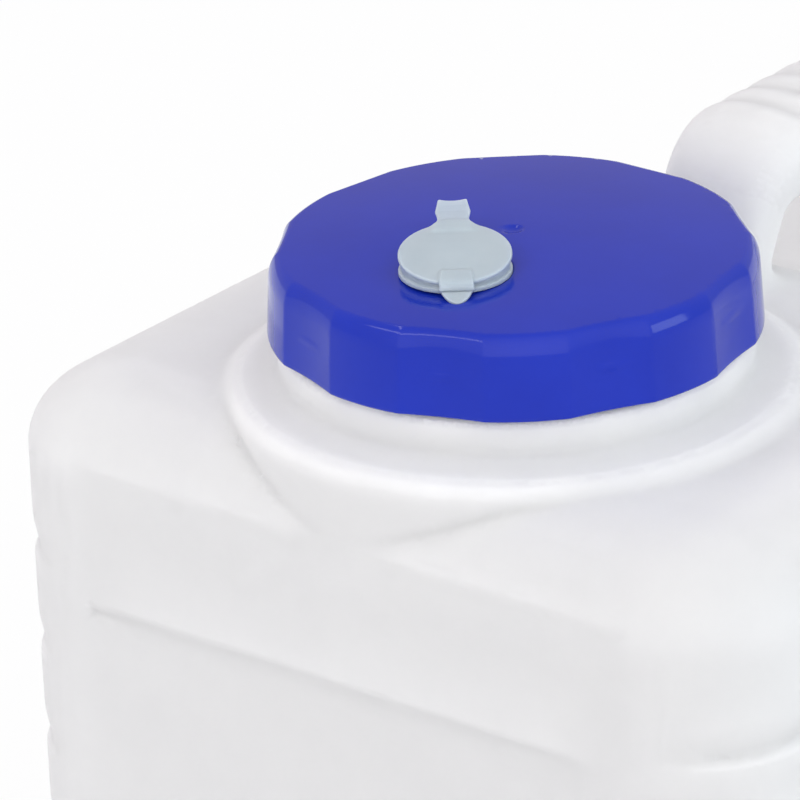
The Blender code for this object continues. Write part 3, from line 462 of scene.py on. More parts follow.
def gradient(field, points):
    """Slope and value of a field at points."""
    step = SLOPE_STEP
    x, y, z = points.T
    slope = np.stack([
        field(x + step, y, z) - field(x - step, y, z),
        field(x, y + step, z) - field(x, y - step, z),
        field(x, y, z + step) - field(x, y, z - step),
    ], axis=1) / (2 * step)
    return slope, field(x, y, z)


def rounded_plan(x, y, half_x, half_y, corner):
    across = np.abs(x) - (half_x - corner)
    along = np.abs(y) - (half_y - corner)
    outside = length(np.maximum(across, 0), np.maximum(along, 0))
    return outside + np.minimum(np.maximum(across, along), 0) - corner


def groove_relief(z, first, count):
    """Depth of the moulded grooves at a height, from 0 to 1."""
    depth = 0
    for i in range(first, first + count):
        above = z - (GROOVE_TOP - i * GROOVE_PITCH)
        flank = 1 - smooth_step(above / GROOVE_FLANK)
        step = smooth_step(1 + above / GROOVE_STEP)
        depth = depth + np.where(above > 0, flank, step)
    return depth


def groove_weights(x, y):
    """How deep the top groove and the others run at a place in plan."""
    across = np.maximum(np.abs(x) - (HALF_WIDTH - CORNER), 0)
    along = np.maximum(FRONT_Y + CORNER - y, 0)
    turn = np.arctan2(across, along + SLIVER) / (math.pi / 2)
    start, full = GROOVE_ARC
    begun = smooth_step((turn - start) / (full - start))
    front = np.where(y < FRONT_Y + CORNER, begun, 1.0)
    fade_start, fade_end = TOP_GROOVE_FADE
    top = front * (1 - smooth_step((y - fade_start) / (fade_end - fade_start)))
    return top * np.ones_like(x), front * np.ones_like(x)


def body_top(y):
    """Height of the body's top at y, and its slope."""
    share = np.clip((y - SLOPE_START) / SLOPE_LENGTH, 0, 1)
    drop = (PLATEAU - DECK) * (1 - np.cos(math.pi * share)) / 2
    inside = (share > 0) & (share < 1)
    steepest = (PLATEAU - DECK) * math.pi / (2 * SLOPE_LENGTH)
    slope = np.where(inside, steepest * np.sin(math.pi * share), 0)
    return PLATEAU - drop, slope


def panel_relief(x, y, z):
    """Depth of the front panel, crisp along its upper edge and soft elsewhere."""
    upper = smooth_step((PANEL_TOP - z) / PANEL_EASE)
    lower = smooth_step((z - PANEL_FOOT) / PANEL_SIDE_EASE)
    below = smooth_step((PANEL_TOP - z) / PANEL_CORNER)
    left_ease = PANEL_EASE + (PANEL_SIDE_EASE - PANEL_EASE) * below
    left = smooth_step((x + PANEL_HALF_WIDTH) / left_ease)
    right = smooth_step((PANEL_HALF_WIDTH - x) / PANEL_SIDE_EASE)
    return PANEL_DEPTH * upper * lower * left * right * (y < FRONT_Y + CORNER)


def handle_line():
    """Centre line of the handle as (y, z, size), from inside the plateau to inside the deck."""
    bend_z = HANDLE_TOP - HANDLE_HALF_HEIGHT - HANDLE_BEND
    front = HANDLE_FRONT + HANDLE_BEND
    back = HANDLE_REAR - HANDLE_BEND
    root_y = front - HANDLE_BEND * math.cos(HANDLE_LEAN)
    root_z = bend_z + HANDLE_BEND * math.sin(HANDLE_LEAN)
    line = []
    for share in np.linspace(1, 0, HANDLE_FOOT_STEPS, endpoint=False):
        depth = HANDLE_FOOT * share
        eased = (math.tan(HANDLE_LEAN) - math.tan(HANDLE_ROOT_LEAN)) * share / 2
        line.append((root_y - depth * (math.tan(HANDLE_LEAN) - eased), root_z - depth, HANDLE_FOOT_SHARE))
    for share in np.linspace(0, 1, HANDLE_BEND_STEPS):
        angle = math.pi - HANDLE_LEAN - (math.pi / 2 - HANDLE_LEAN) * share
        size = HANDLE_FOOT_SHARE + (1 - HANDLE_FOOT_SHARE) * share
        line.append((front + HANDLE_BEND * math.cos(angle), bend_z + HANDLE_BEND * math.sin(angle), size))
    for share in np.linspace(0, 1, HANDLE_BEND_STEPS):
        angle = math.pi / 2 * (1 - share)
        line.append((back + HANDLE_BEND * math.cos(angle), bend_z + HANDLE_BEND * math.sin(angle), 1))
    line.append((HANDLE_REAR, DECK - HANDLE_FOOT, 1))
    return line


def follow(line, y, z):
    """Distance from a line of (y, z, size) points, with the side, the size and the way along it."""
    shape = np.broadcast(y, z).shape
    nearest = np.full(shape, 1.0)
    side, size, way = np.zeros(shape), np.ones(shape), np.zeros(shape)
    passed = 0.0
    for (y0, z0, s0), (y1, z1, s1) in zip(line, line[1:]):
        run_y, run_z = y1 - y0, z1 - z0
        span = math.hypot(run_y, run_z)
        along = np.clip(((y - y0) * run_y + (z - z0) * run_z) / span ** 2, 0, 1)
        away = length(y - y0 - along * run_y, z - z0 - along * run_z)
        over = ((z - z0) * run_y - (y - y0) * run_z) / span
        closer = away < nearest
        nearest = np.where(closer, away, nearest)
        side = np.where(closer, over, side)
        size = np.where(closer, s0 + (s1 - s0) * along, size)
        way = np.where(closer, passed + span * along, way)
        passed += span
    return nearest, side, size, way


def handle_field(x, y, z):
    """The bow handle: a flattened round section along its line, with rounded notches in its top."""
    nearest, side, size, _ = follow(handle_line(), y, z)
    turn = (y - GRIP_START) / GRIP_PITCH
    off = (turn - np.round(turn)) * GRIP_PITCH / GRIP_NOTCH
    begun = smooth_step((y - GRIP_START) / GRIP_PITCH + 1)
    left = smooth_step((GRIP_END - y) / GRIP_PITCH + 1)
    scallop = GRIP_DEPTH * np.exp(-off * off) * (begun * left) * np.clip(side / HANDLE_HALF_HEIGHT, 0, 1)
    wide = np.abs(x) / (HANDLE_HALF_WIDTH * size)
    high = nearest / (HANDLE_HALF_HEIGHT * size - scallop)
    power = HANDLE_POWER
    inside = np.maximum(wide ** power + high ** power, TINY)
    reach = inside ** (1 / power)
    slope_x = (wide / reach) ** (power - 1) / (HANDLE_HALF_WIDTH * size)
    slope_z = (high / reach) ** (power - 1) / (HANDLE_HALF_HEIGHT * size)
    return (reach - 1) / np.maximum(length(slope_x, slope_z), 1)


def thread_field(x, y, z, radius, start, thick, phase=0.0):
    """A right-hand thread ridge about the cap's axis that tapers at both ends."""
    out = length(x, y - CAP_Y)
    angle = (np.arctan2(y - CAP_Y, x) - phase) % (2 * math.pi) / (2 * math.pi)
    turn = np.round((z - start) / THREAD_PITCH - angle) + angle
    turn = np.clip(turn, angle, angle + np.floor(THREAD_TURNS - angle))
    end = np.minimum(turn, THREAD_TURNS - turn)
    size = thick * smooth_step(end / THREAD_TAPER + THREAD_END)
    return length(out - radius, z - start - turn * THREAD_PITCH) - size


def neck_field(x, y, z):
    """Collar with its valley, bead and neck, as turned forms about the cap's axis."""
    out = length(x, y - CAP_Y)
    collar = both(out - COLLAR_RADIUS, z - COLLAR_TOP, COLLAR_ROUND)
    mound = np.maximum(out - COVE_MIDDLE, z - BEAD_TOP)
    cove = length(out - COVE_MIDDLE, z - COVE_Z) - COVE_RADIUS
    collar = cut(np.minimum(collar, mound), cove, COVE_EDGE)
    bead = both(out - BEAD_RADIUS, z - BEAD_TOP, BEAD_ROUND)
    neck = both(out - NECK_RADIUS, z - RIM_Z, RIM_ROUND)
    return either(either(collar, bead, BEAD_FILLET), neck, SOFT)


def swell(place, wave):
    """A sine wave along one axis, given as its frequency and phase."""
    frequency, phase = wave
    return np.sin(place * frequency + phase)


def wall_wave(x, y, z):
    """Depth of the shallow unevenness of the blown walls."""
    low_wave, high_wave = WAVE_Z
    wave = swell(x, WAVE_X) * swell(z, low_wave) + swell(y, WAVE_Y) * swell(z, high_wave)
    return WAVE * (WAVE_LEVEL + wave / 2)


def tank_field(x, y, z, fine=True):
    """Outside of the blown shell, as one solid."""
    plan = rounded_plan(x, y - MIDDLE_Y, HALF_WIDTH, HALF_LENGTH, CORNER)
    plan = plan + wall_wave(x, y, z)
    top_weight, weight = groove_weights(x, y)
    relief = top_weight * groove_relief(z, 0, 1) + weight * groove_relief(z, 1, GROOVES - 1)
    plan = plan + GROOVE_DEPTH * relief + panel_relief(x, y, z)
    height, slope = body_top(y)
    top = (z - height) / np.sqrt(1 + slope * slope)
    body = both(plan, top, SHOULDER_ACROSS, SHOULDER_DOWN)
    body = both(body, STAND - z, FOOT)
    inset = rounded_plan(x, y - MIDDLE_Y, HALF_WIDTH - FOOT_RIM, HALF_LENGTH - FOOT_RIM, CORNER)
    body = cut(body, np.maximum(inset, z - FOOT_RECESS), FOOT_RECESS_EDGE)
    neck = neck_field(x, y, z)
    low = COLLAR_LOW - z
    neck = both(neck, low, COLLAR_FILLET) if fine else np.maximum(neck, low)
    grown = smooth_step((y - FRONT_Y) / COLLAR_BLEND)
    blend = COLLAR_BLEND_LEAST + (1 - COLLAR_BLEND_LEAST) * grown
    shell = either(body, neck, COLLAR_FILLET * blend)
    shell = either(shell, handle_field(x, y, z), HANDLE_FILLET)
    if fine:
        ridge = PARTING_RIDGE * np.exp(-((x / PARTING_WIDTH) ** 2))
        shell = shell - ridge * smooth_step((y - HANDLE_REAR) / PARTING_FADE)
        thread = thread_field(x, y, z, NECK_RADIUS + THREAD_STAND, THREAD_START, THREAD_RADIUS)
        shell = either(shell, thread, EASED)
    return shell


def hollow_field(x, y, z):
    """Inside of the shell, with the neck's bore and the tap's hole running out of it."""
    inside = tank_field(x, y, z, fine=False) + WALL
    out = length(x, y - CAP_Y)
    mouth = np.maximum(out - NECK_BORE, np.maximum(PLATEAU - HOLE_SPARE - z, z - RIM_Z - HOLE_SPARE))
    hole = np.maximum(length(x, z - TAP_Z) - TAP_HOLE, np.abs(y - FRONT_Y) - HOLE_SPARE)
    return np.minimum(np.minimum(inside, mouth), hole)


def make_tank(paint):
    low = (-HALF_WIDTH, FRONT_Y - FRONT_SPARE, 0)
    high = (HALF_WIDTH, BACK_Y, HANDLE_TOP)
    tank = mesh_field("tank_shell", tank_field, low, high, TANK_MESH)
    hollow = mesh_field("tank_hollow", hollow_field, low, high, HOLLOW_MESH)
    change = tank.modifiers.new("hollow", "BOOLEAN")
    change.operation = "DIFFERENCE"
    change.solver = "MANIFOLD"
    change.object = hollow
    settle(tank)
    bpy.data.objects.remove(hollow, do_unlink=True)
    field_normals(tank, (tank_field, lambda x, y, z: -hollow_field(x, y, z)))
    dress(tank, paint, "milky_polyethylene", "tank", "tank_body")


def settle(made):
    """Replaces an object's mesh by its evaluated one, so that its modifiers are spent."""
    bpy.context.view_layer.update()
    graph = bpy.context.evaluated_depsgraph_get()
    mesh = bpy.data.meshes.new_from_object(made.evaluated_get(graph))
    made.modifiers.clear()
    made.data = mesh


def field_normals(made, fields):
    """Gives each corner of a mesh the normal of the field that its face lies on."""
    mesh = made.data
    mesh.shade_smooth()
    points = np.empty(len(mesh.vertices) * 3)
    mesh.vertices.foreach_get("co", points)
    points = points.reshape(-1, 3)
    corner_vertex = np.empty(len(mesh.loops), int)
    mesh.loops.foreach_get("vertex_index", corner_vertex)
    facing = np.empty(len(mesh.polygons) * 3)
    mesh.polygons.foreach_get("normal", facing)
    sizes = np.empty(len(mesh.polygons), int)
    mesh.polygons.foreach_get("loop_total", sizes)
    corner_facing = np.repeat(facing.reshape(-1, 3), sizes, axis=0)
    best = corner_facing.copy()
    closest = np.full(len(corner_vertex), SAME_FACING)
    for field in fields:
        slope, value = gradient(field, points)
        slope /= np.maximum(np.linalg.norm(slope, axis=1), TINY)[:, None]
        normal = slope[corner_vertex]
        match = (normal * corner_facing).sum(1)
        better = (match > closest) & (np.abs(value[corner_vertex]) < ON_SURFACE)
        best[better] = normal[better]
        closest[better] = match[better]
    mesh.normals_split_custom_set(best.tolist())


def dress(made, paint, slot, body, *nodes):
    made.data.materials.clear()
    made.data.materials.append(paint)
    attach(made, body)
    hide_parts(*nodes)


def cap_crown(out):
    return CAP_HEIGHT + CAP_CROWN * (1 - (out / CROWN_RADIUS) ** 2)


def flutes(angle):
    """Depth of the finger flutes round the cap, from 0 on a lobe to 1 in the middle of a flute."""
    pitch = 2 * math.pi / CAP_LOBES
    turn = (angle - FLUTE_FACING) / pitch
    depth = 1 - ((turn - np.round(turn)) * pitch / FLUTE_HALF) ** 2
    blended = np.maximum(depth + FLUTE_BLEND, 0) ** 2 / (4 * FLUTE_BLEND)
    return np.where(depth > FLUTE_BLEND, depth, blended)


def cap_field(x, y, z):
    """Lobed skirt, domed top with its gate mark, hollow with its thread, and the vent's seat."""
    out = length(x, y - CAP_Y)
    high = z - CAP_Z
    fade = smooth_step((high - (CAP_HEIGHT - FLUTE_FADE)) / FLUTE_FADE)
    reach = LOBE_RADIUS * (1 - CAP_TAPER * high / CAP_HEIGHT)
    depth = FLUTE_DEPTH * (1 - (1 - FLUTE_AT_TOP) * fade)
    reach = reach - depth * flutes(np.arctan2(y - CAP_Y, x))
    vent = length(x - VENT_X, y - VENT_Y)
    top = cap_crown(out) - DISH_DEPTH * np.exp(-((vent / DISH_RADIUS) ** 2))
    cap = both(out - reach, high - top, CAP_EDGE, CAP_EDGE_DOWN)
    cap = both(cap, -high, CAP_FOOT_EDGE)
    gate = length(out, (high - cap_crown(0)) * GATE_RADIUS / GATE_DEPTH) - GATE_RADIUS
    cap = cut(cap, gate, SMALL)
    hollow = both(out - CAP_BORE, z - CAP_CEILING, EASED)
    dome = both(out - CAP_CEILING_RADIUS, high - cap_crown(out) + CAP_TOP_WALL, ROUND)
    hollow = either(hollow, dome, SOFT)
    thread = thread_field(x, y, z, CAP_BORE - THREAD_STAND, THREAD_START, THREAD_RADIUS, math.pi)
    cap = either(cut(cap, hollow, EASED), thread, SMALL)
    cap = cut(cap, both(vent - SPOT_RADIUS, SPOT_Z - z, CRISP), CRISP)
    return cut(cap, vent - VENT_HOLE, SMALL)


def make_cap(paint):
    reach = CAP_RADIUS * CAP_SPARE
    low = (-reach, CAP_Y - reach, CAP_Z)
    high = (reach, CAP_Y + reach, CAP_Z + CAP_HEIGHT + CAP_CROWN)
    cap = mesh_field("cap_moulding", cap_field, low, high, CAP_MESH)
    dress(cap, paint, "blue_plastic", "cap", "cap_shell")


def vent_place(x, y, z):
    """A point in the vent's own frame, with the second axis towards its pull tab."""
    cos_f, sin_f = math.cos(VENT_FACING), math.sin(VENT_FACING)
    u = cos_f * (x - VENT_X) + sin_f * (y - VENT_Y)
    v = cos_f * (y - VENT_Y) - sin_f * (x - VENT_X)
    return u, v, z - SPOT_Z


def look_up(table, place):
    """The value that a table of (place, value) rows gives at a place."""
    return np.interp(place, [row[0] for row in table], [row[1] for row in table])


def ribbon(line, widths, half, u, v, w, end=None, hollow=0.0):
    """A flat strip along a line, as wide at each place as its table says."""
    nearest, _, _, way = follow([(*point, 1) for point in line], v, w)
    wide = look_up(widths, way)
    side = np.abs(u) - wide
    if end is not None:
        tip = end - hollow * (1 - (u / wide) ** 2)
        side = both(side, way - tip, half)
    return both(nearest - half, side, RIBBON_EDGE * half)


def vent_seat_field(x, y, z):
    """Base ring in the cap with its slanted upper edge, its tube and the fixed tongue of the hinge."""
    u, v, w = vent_place(x, y, z)
    out = length(u, v)
    plate = both(both(out - SEAT_RADIUS, w - SEAT_THICKNESS, FINE), SEAT_LOW - w, SEAT_LOW)
    slant = LID_SLANT * v
    ring = both(out - SEAT_RING, w - slant - LID_LOW + LID_GAP, FINE)
    ring = both(ring, SEAT_RING - SEAT_RING_WALL - out, FINE)
    ring = np.maximum(ring, -w + SEAT_RING_LOW)
    tube = both(out - TUBE_RADIUS, -w - TUBE_LENGTH, THIN)
    tube = np.maximum(tube, w - SEAT_FLOOR)
    barb_reach = TUBE_BARB + BARB_SLOPE * (w + BARB_TOP)
    barb = both(out - barb_reach, np.abs(w + BARB_MIDDLE) - BARB_HALF, HAIR)
    floor = both(out - SEAT_RING, w - SEAT_FLOOR, HAIR)
    floor = np.maximum(floor, -w + SEAT_RING_LOW)
    seat = either(either(plate, ring, CRISP), np.minimum(tube, barb), FINE)
    seat = np.minimum(seat, floor)
    seat = cut(seat, out - TUBE_BORE, CRISP)
    nearest, _, _, way = follow([(*point, 1) for point in TONGUE_LINE], v, w)
    share = np.clip(way / TONGUE_END, 0, 1)
    bulge, point = TONGUE_POINT
    wide = TONGUE_WIDE * np.maximum(1 - share ** bulge, 0) ** point
    tongue = both(nearest - TONGUE_HALF, np.maximum(np.abs(u) - wide, way - TONGUE_END), FINE)
    return either(seat, np.maximum(tongue, w - TONGUE_TOP), CRISP)


def vent_lid_field(x, y, z):
    """Slanted, slightly domed lid with its plug, the curled pull tab and the strap over its rim."""
    u, v, w = vent_place(x, y, z)
    out = length(u, v)
    over = w - LID_SLANT * v - LID_LOW
    dome = LID_THICKNESS + LID_DOME * (1 - np.minimum(out / LID_RADIUS, 1) ** 2)
    disc = both(both(out - LID_RADIUS, over - dome, CRISP), -over, FINE)
    tab = ribbon(TAB_LINE, TAB_WIDTHS, TAB_HALF, u, v, w, TAB_END, TAB_HOLLOW)
    lid = either(disc, tab, TAB_FILLET)
    strap = ribbon(STRAP_LINE, STRAP_WIDTHS, STRAP_HALF, u, v, w)
    lid = either(lid, strap, STRAP_FILLET)
    plug = both(out - PLUG_RADIUS, PLUG_LOW - w, PLUG_EDGE)
    plug = np.maximum(plug, over - LID_THICKNESS / 2)
    plug = cut(plug, both(out - PLUG_HOLLOW, w - PLUG_HOLLOW_TOP, SMALL), CRISP)
    return either(lid, plug, THIN)


def tap_place(x, y, z):
    return x, y - TAP_Y, z - TAP_Z


def tap_body_field(x, y, z):
    """Shank with its thread, flange, upright barrel and spout in one moulding, bored through."""
    x, y, z = tap_place(x, y, z)
    across = length(x, z)
    turn = y / SHANK_PITCH - np.arctan2(z, x) / (2 * math.pi)
    ridge = np.abs(2 * (turn - np.floor(turn)) - 1)
    begun = smooth_step((y - FLANGE_END - SHANK_THREAD_START) / SHANK_THREAD_FADE)
    shank = across - SHANK_RADIUS + SHANK_THREAD * smooth_step(ridge * SHANK_CREST - SHANK_ROOT) * begun
    shank = both(shank, y - SHANK_END, ROUND)
    flange = both(across - FLANGE_RADIUS, FLANGE_START - y, ROUND)
    flange = np.maximum(flange, y - FLANGE_END)
    arm = np.maximum(across - ARM_RADIUS, np.maximum(-y, y - SHANK_END))
    out = length(x, y)
    barrel = both(out - BARREL_RADIUS, BARREL_FOOT - BARREL_FOOT_DROP - z, BARREL_FOOT_EDGE)
    barrel = both(barrel, z - BARREL_TOP, CRISP)
    reach = SPOUT_RADIUS - SPOUT_TAPER * (BARREL_FOOT - z) / (BARREL_FOOT - SPOUT_END)
    spout = both(out - reach, SPOUT_END - z, THIN)
    spout = np.maximum(spout, z - BARREL_FOOT)
    lip = length(out - LIP_RADIUS, z - SPOUT_END - LIP_RISE) - LIP_HALF
    spout = either(spout, lip, SMALL)
    upright = either(barrel, spout, SOFT)
    level = either(either(arm, flange, FLANGE_FILLET), np.maximum(shank, FLANGE_START - y), THIN)
    body = either(level, upright, ARM_FILLET)
    bore = np.minimum(np.maximum(across - SPOUT_BORE, -y), np.maximum(out - SPOUT_BORE, z))
    well = np.maximum(out - WELL_RADIUS, BARREL_FOOT - z)
    return cut(body, np.minimum(bore, well), CRISP)


def tap_bonnet_field(x, y, z):
    """Knurled ring over the barrel."""
    x, y, z = tap_place(x, y, z)
    out = length(x, y)
    turn = BONNET_KNURLS * np.arctan2(y, x) / (2 * math.pi)
    groove = np.abs(2 * (turn - np.floor(turn)) - 1)
    faded = smooth_step((BONNET_TOP - KNURL_FADE - z) / KNURL_FADE)
    knurl = KNURL_DEPTH * smooth_step((groove - KNURL_START) / KNURL_RISE) * faded
    ring = both(out - BONNET_RADIUS + knurl, z - BONNET_TOP, ROUND)
    ring = both(ring, BONNET_TOP - BONNET_HEIGHT - z, CRISP)
    hollow = np.maximum(out - BONNET_HOLLOW, z - BARREL_TOP - BONNET_GAP)
    return cut(ring, np.minimum(hollow, out - SPINDLE_HOLE), CRISP)


def tap_lever_field(x, y, z):
    """Hub on the spindle and a blade with finger ridges that points along +X when the tap is shut."""
    x, y, z = tap_place(x, y, z)
    out = length(x, y)
    hub = both(out - HUB_RADIUS, z - HUB_LOW - HUB_HEIGHT, HUB_EDGE)
    hub = both(hub, HUB_LOW - z, THIN)
    nearest, side, thick, _ = follow(LEVER_LINE, x, z)
    wide = look_up(LEVER_HALF_WIDTHS, x)
    begun = smooth_step((x - LEVER_GRIP_START) / LEVER_GRIP_FADE)
    left = smooth_step((LEVER_GRIP_END - x) / LEVER_GRIP_FADE)
    grip = np.sin((x - LEVER_GRIP_START) / LEVER_GRIP_PITCH * math.pi) * begun * left * (side > 0)
    past_end = np.maximum(x - LEVER_END + LEVER_ROUND, 0)
    past_side = np.maximum(np.abs(y) - wide + LEVER_ROUND, 0)
    end = np.maximum(length(past_end, past_side) - LEVER_ROUND, np.abs(y) - wide)
    blade = both(end, nearest - thick - LEVER_GRIP_DEPTH * grip, LEVER_EDGE)
    blade = np.maximum(blade, -x)
    lever = either(hub, blade, LEVER_FILLET)
    lever = cut(lever, np.maximum(out - SPINDLE_HOLE, z - SOCKET_TOP), FINE)
    return cut(lever, out - SCREW_HOLE, FINE)


def lever_screw_field(x, y, z):
    """Pan head with a cross recess on a plain shank."""
    x, y, z = tap_place(x, y, z)
    out = length(x, y)
    head = both(out - SCREW_HEAD, z - SCREW_BASE - SCREW_HEIGHT, SOFT)
    head = both(head, SCREW_BASE - z, HAIR)
    shank = both(out - SCREW_SHANK, SCREW_BASE - SCREW_LENGTH - z, FINE)
    screw = np.minimum(head, np.maximum(shank, z - SCREW_BASE - SCREW_OVERLAP))
    narrow = CROSS_HALF + CROSS_SLOPE * (z - SCREW_BASE - SCREW_HEIGHT)
    across = np.maximum(np.abs(x) - narrow, np.abs(y) - CROSS_REACH)
    along = np.maximum(np.abs(y) - narrow, np.abs(x) - CROSS_REACH)
    cross = np.maximum(np.minimum(across, along), SCREW_BASE + CROSS_FLOOR - z)
    return cut(screw, cross, HAIR)


def make_small(name, field, fineness, paints, slot, body, node):
    """A small moulding, meshed inside the box of the node that it stands for."""
    low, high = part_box(node)
    spare = Vector((SMALL_SPARE, SMALL_SPARE, SMALL_SPARE))
    made = mesh_field(name, field, low - spare, high + spare, fineness)
    dress(made, paints[slot], slot, body, node)


def make_vent(paints):
    make_small("vent_base", vent_seat_field, SEAT_MESH, paints, "vent_plastic", "cap", "vent_seat")
    make_small("vent_cover", vent_lid_field, LID_MESH, paints, "vent_plastic", "vent cover", "vent_lid")


def make_tap(paints):
    make_small("tap_moulding", tap_body_field, TAP_MESH, paints, "white_plastic", "tank", "tap_body")
    make_small("tap_ring", tap_bonnet_field, BONNET_MESH, paints, "blue_plastic", "tank", "tap_bonnet")
    make_small("tap_handle", tap_lever_field, LEVER_MESH, paints, "blue_plastic", "valve", "tap_lever")
    make_small("screw", lever_screw_field, SCREW_MESH, paints, "stainless_steel", "valve", "lever_screw")


def nodes_of(material):
    material.use_nodes = True
    tree = material.node_tree
    return tree, tree.nodes["Principled BSDF"]


def moulded(name, light, dark, roughness, grain, relief, **constants):
    """Moulded plastic, rubber or brushed metal: mottled colour, uneven gloss and a fine relief."""
    material = bpy.data.materials.new(name)
    tree, shader = nodes_of(material)
    new, link = tree.nodes.new, tree.links.new
    place = new("ShaderNodeTexCoord")

    def noise(kind):
        coarser, detail, rough = kind
        made = new("ShaderNodeTexNoise")
        made.inputs["Scale"].default_value = grain / coarser
        made.inputs["Detail"].default_value = detail
        made.inputs["Roughness"].default_value = rough
        link(place.outputs["Object"], made.inputs["Vector"])
        return made.outputs["Fac"]

    cloud = noise(CLOUD)
    mix = new("ShaderNodeMix")
    mix.data_type = "RGBA"
    mix.inputs["A"].default_value = (*dark, 1)
    mix.inputs["B"].default_value = (*light, 1)
    spread = new("ShaderNodeMapRange")
    spread.inputs["From Min"].default_value = CLOUD_SPREAD[0]
    spread.inputs["From Max"].default_value = CLOUD_SPREAD[1]
    link(cloud, spread.inputs["Value"])
    link(spread.outputs["Result"], mix.inputs["Factor"])
    link(mix.outputs["Result"], shader.inputs["Base Color"])
    gloss = new("ShaderNodeMapRange")
    gloss.inputs["To Min"].default_value = roughness[0]
    gloss.inputs["To Max"].default_value = roughness[1]
    link(noise(GLOSS), gloss.inputs["Value"])
    link(gloss.outputs["Result"], shader.inputs["Roughness"])
    bump = new("ShaderNodeBump")
    bump.inputs["Strength"].default_value = 1.0
    bump.inputs["Distance"].default_value = relief
    link(noise(RELIEF), bump.inputs["Height"])
    link(bump.outputs["Normal"], shader.inputs["Normal"])
    for socket, value in constants.items():
        shader.inputs[socket.replace("_", " ")].default_value = value
    return material


def milky_polyethylene():
    return moulded(
        "milky_polyethylene", light=(0.87, 0.875, 0.88), dark=(0.84, 0.845, 0.855),
        roughness=(0.46, 0.55), grain=320, relief=0.00003,
        Subsurface_Weight=1.0, Subsurface_Scale=0.011, Subsurface_Radius=EVEN,
        IOR=1.50, Specular_IOR_Level=0.24
    )


def blue_plastic():
    return moulded(
        "blue_plastic", light=(0.004, 0.022, 0.38), dark=(0.003, 0.019, 0.35),
        roughness=(0.085, 0.14), grain=420, relief=0.000006,
        IOR=1.46, Specular_IOR_Level=0.34
    )


def foam_seal():
    return moulded(
        "foam_seal", light=(0.82, 0.83, 0.82), dark=(0.70, 0.71, 0.70),
        roughness=(0.8, 0.95), grain=1400, relief=0.00010
    )


def vent_plastic():
    return moulded(
        "vent_plastic", light=(0.42, 0.49, 0.53), dark=(0.38, 0.45, 0.50),
        roughness=(0.28, 0.38), grain=500, relief=0.000008,
        Subsurface_Weight=0.9, Subsurface_Scale=0.004, Subsurface_Radius=EVEN, IOR=1.48
    )


def white_plastic():
    return moulded(
        "white_plastic", light=(0.80, 0.81, 0.81), dark=(0.75, 0.76, 0.77),
        roughness=(0.28, 0.38), grain=480, relief=0.000015,
        Subsurface_Weight=0.2, Subsurface_Scale=0.002, Subsurface_Radius=EVEN, IOR=1.50
    )


def silicone():
    return moulded(
        "silicone", light=(0.62, 0.66, 0.68), dark=(0.55, 0.60, 0.62),
        roughness=(0.40, 0.55), grain=600, relief=0.00002,
        Subsurface_Weight=0.4, Subsurface_Scale=0.002, Subsurface_Radius=EVEN
    )


def black_rubber():
    return moulded(
        "black_rubber", light=(0.022, 0.022, 0.023), dark=(0.012, 0.012, 0.013),
        roughness=(0.5, 0.7), grain=900, relief=0.00003
    )


def stainless_steel():
    return moulded(
        "stainless_steel", light=(0.63, 0.63, 0.64), dark=(0.55, 0.55, 0.56),
        roughness=(0.22, 0.38), grain=900, relief=0.00001, Metallic=1.0
    )


def make_materials():
    return {
        "milky_polyethylene": milky_polyethylene(),
        "blue_plastic": blue_plastic(),
        "foam_seal": foam_seal(),
        "vent_plastic": vent_plastic(),
        "white_plastic": white_plastic(),
        "silicone": silicone(),
        "black_rubber": black_rubber(),
        "stainless_steel": stainless_steel(),
    }


def paint_nodes(paints):
    """Puts the procedural materials on every carried-over node."""
    for row in frame["record"]["subparts"]:
        node = frame["nodes"][row["node"]]
        for place in node.material_slots:
            place.material = paints[row["material_slot"]]


def maths(tree, operation, first, second):
    """Result of a math node on a socket and on a second socket or a number."""
    node = tree.nodes.new("ShaderNodeMath")
    node.operation = operation
    tree.links.new(first, node.inputs[0])
    if isinstance(second, bpy.types.NodeSocket):
        tree.links.new(second, node.inputs[1])
    else:
        node.inputs[1].default_value = second
    return node.outputs["Value"]


def backdrop_paint():
    """A white floor that shows as white and keeps the shadow that falls on it."""
    material = bpy.data.materials.new("backdrop")
    tree, shader = nodes_of(material)
    new, link = tree.nodes.new, tree.links.new
    shader.inputs["Base Color"].default_value = (FLOOR_GREY, FLOOR_GREY, FLOOR_GREY, 1)
    shader.inputs["Roughness"].default_value = FLOOR_ROUGHNESS
    white = new("ShaderNodeEmission")
    white.inputs["Strength"].default_value = 1.0
    paths = new("ShaderNodeLightPath").outputs
    seen = maths(tree, "MAXIMUM", paths["Is Camera Ray"], paths["Is Glossy Ray"])
    clear = maths(tree, "MAXIMUM", seen, paths["Is Transmission Ray"])
    mix = new("ShaderNodeMixShader")
    link(maths(tree, "MULTIPLY", clear, FLOOR_WHITE), mix.inputs["Fac"])
    link(shader.outputs["BSDF"], mix.inputs[1])
    link(white.outputs["Emission"], mix.inputs[2])
    link(mix.outputs["Shader"], tree.nodes["Material Output"].inputs["Surface"])
    return material


def make_floor():
    reach = FLOOR_REACH
    mesh = bpy.data.meshes.new("studio_floor")
    corners = [(-reach, -reach, 0), (reach, -reach, 0), (reach, reach, 0), (-reach, reach, 0)]
    mesh.from_pydata(corners, [], [(0, 1, 2, 3)])
    mesh.materials.append(backdrop_paint())
    floor = bpy.data.objects.new("studio_floor", mesh)
    bpy.context.scene.collection.objects.link(floor)


def picture_place(right, front, up):
    """The place that lies so far to the right, in front and up, as the camera sees the object."""
    sin_a, cos_a = math.sin(CAMERA_AZIMUTH), math.cos(CAMERA_AZIMUTH)
    return Vector((cos_a * right + sin_a * front, sin_a * right - cos_a * front, up))


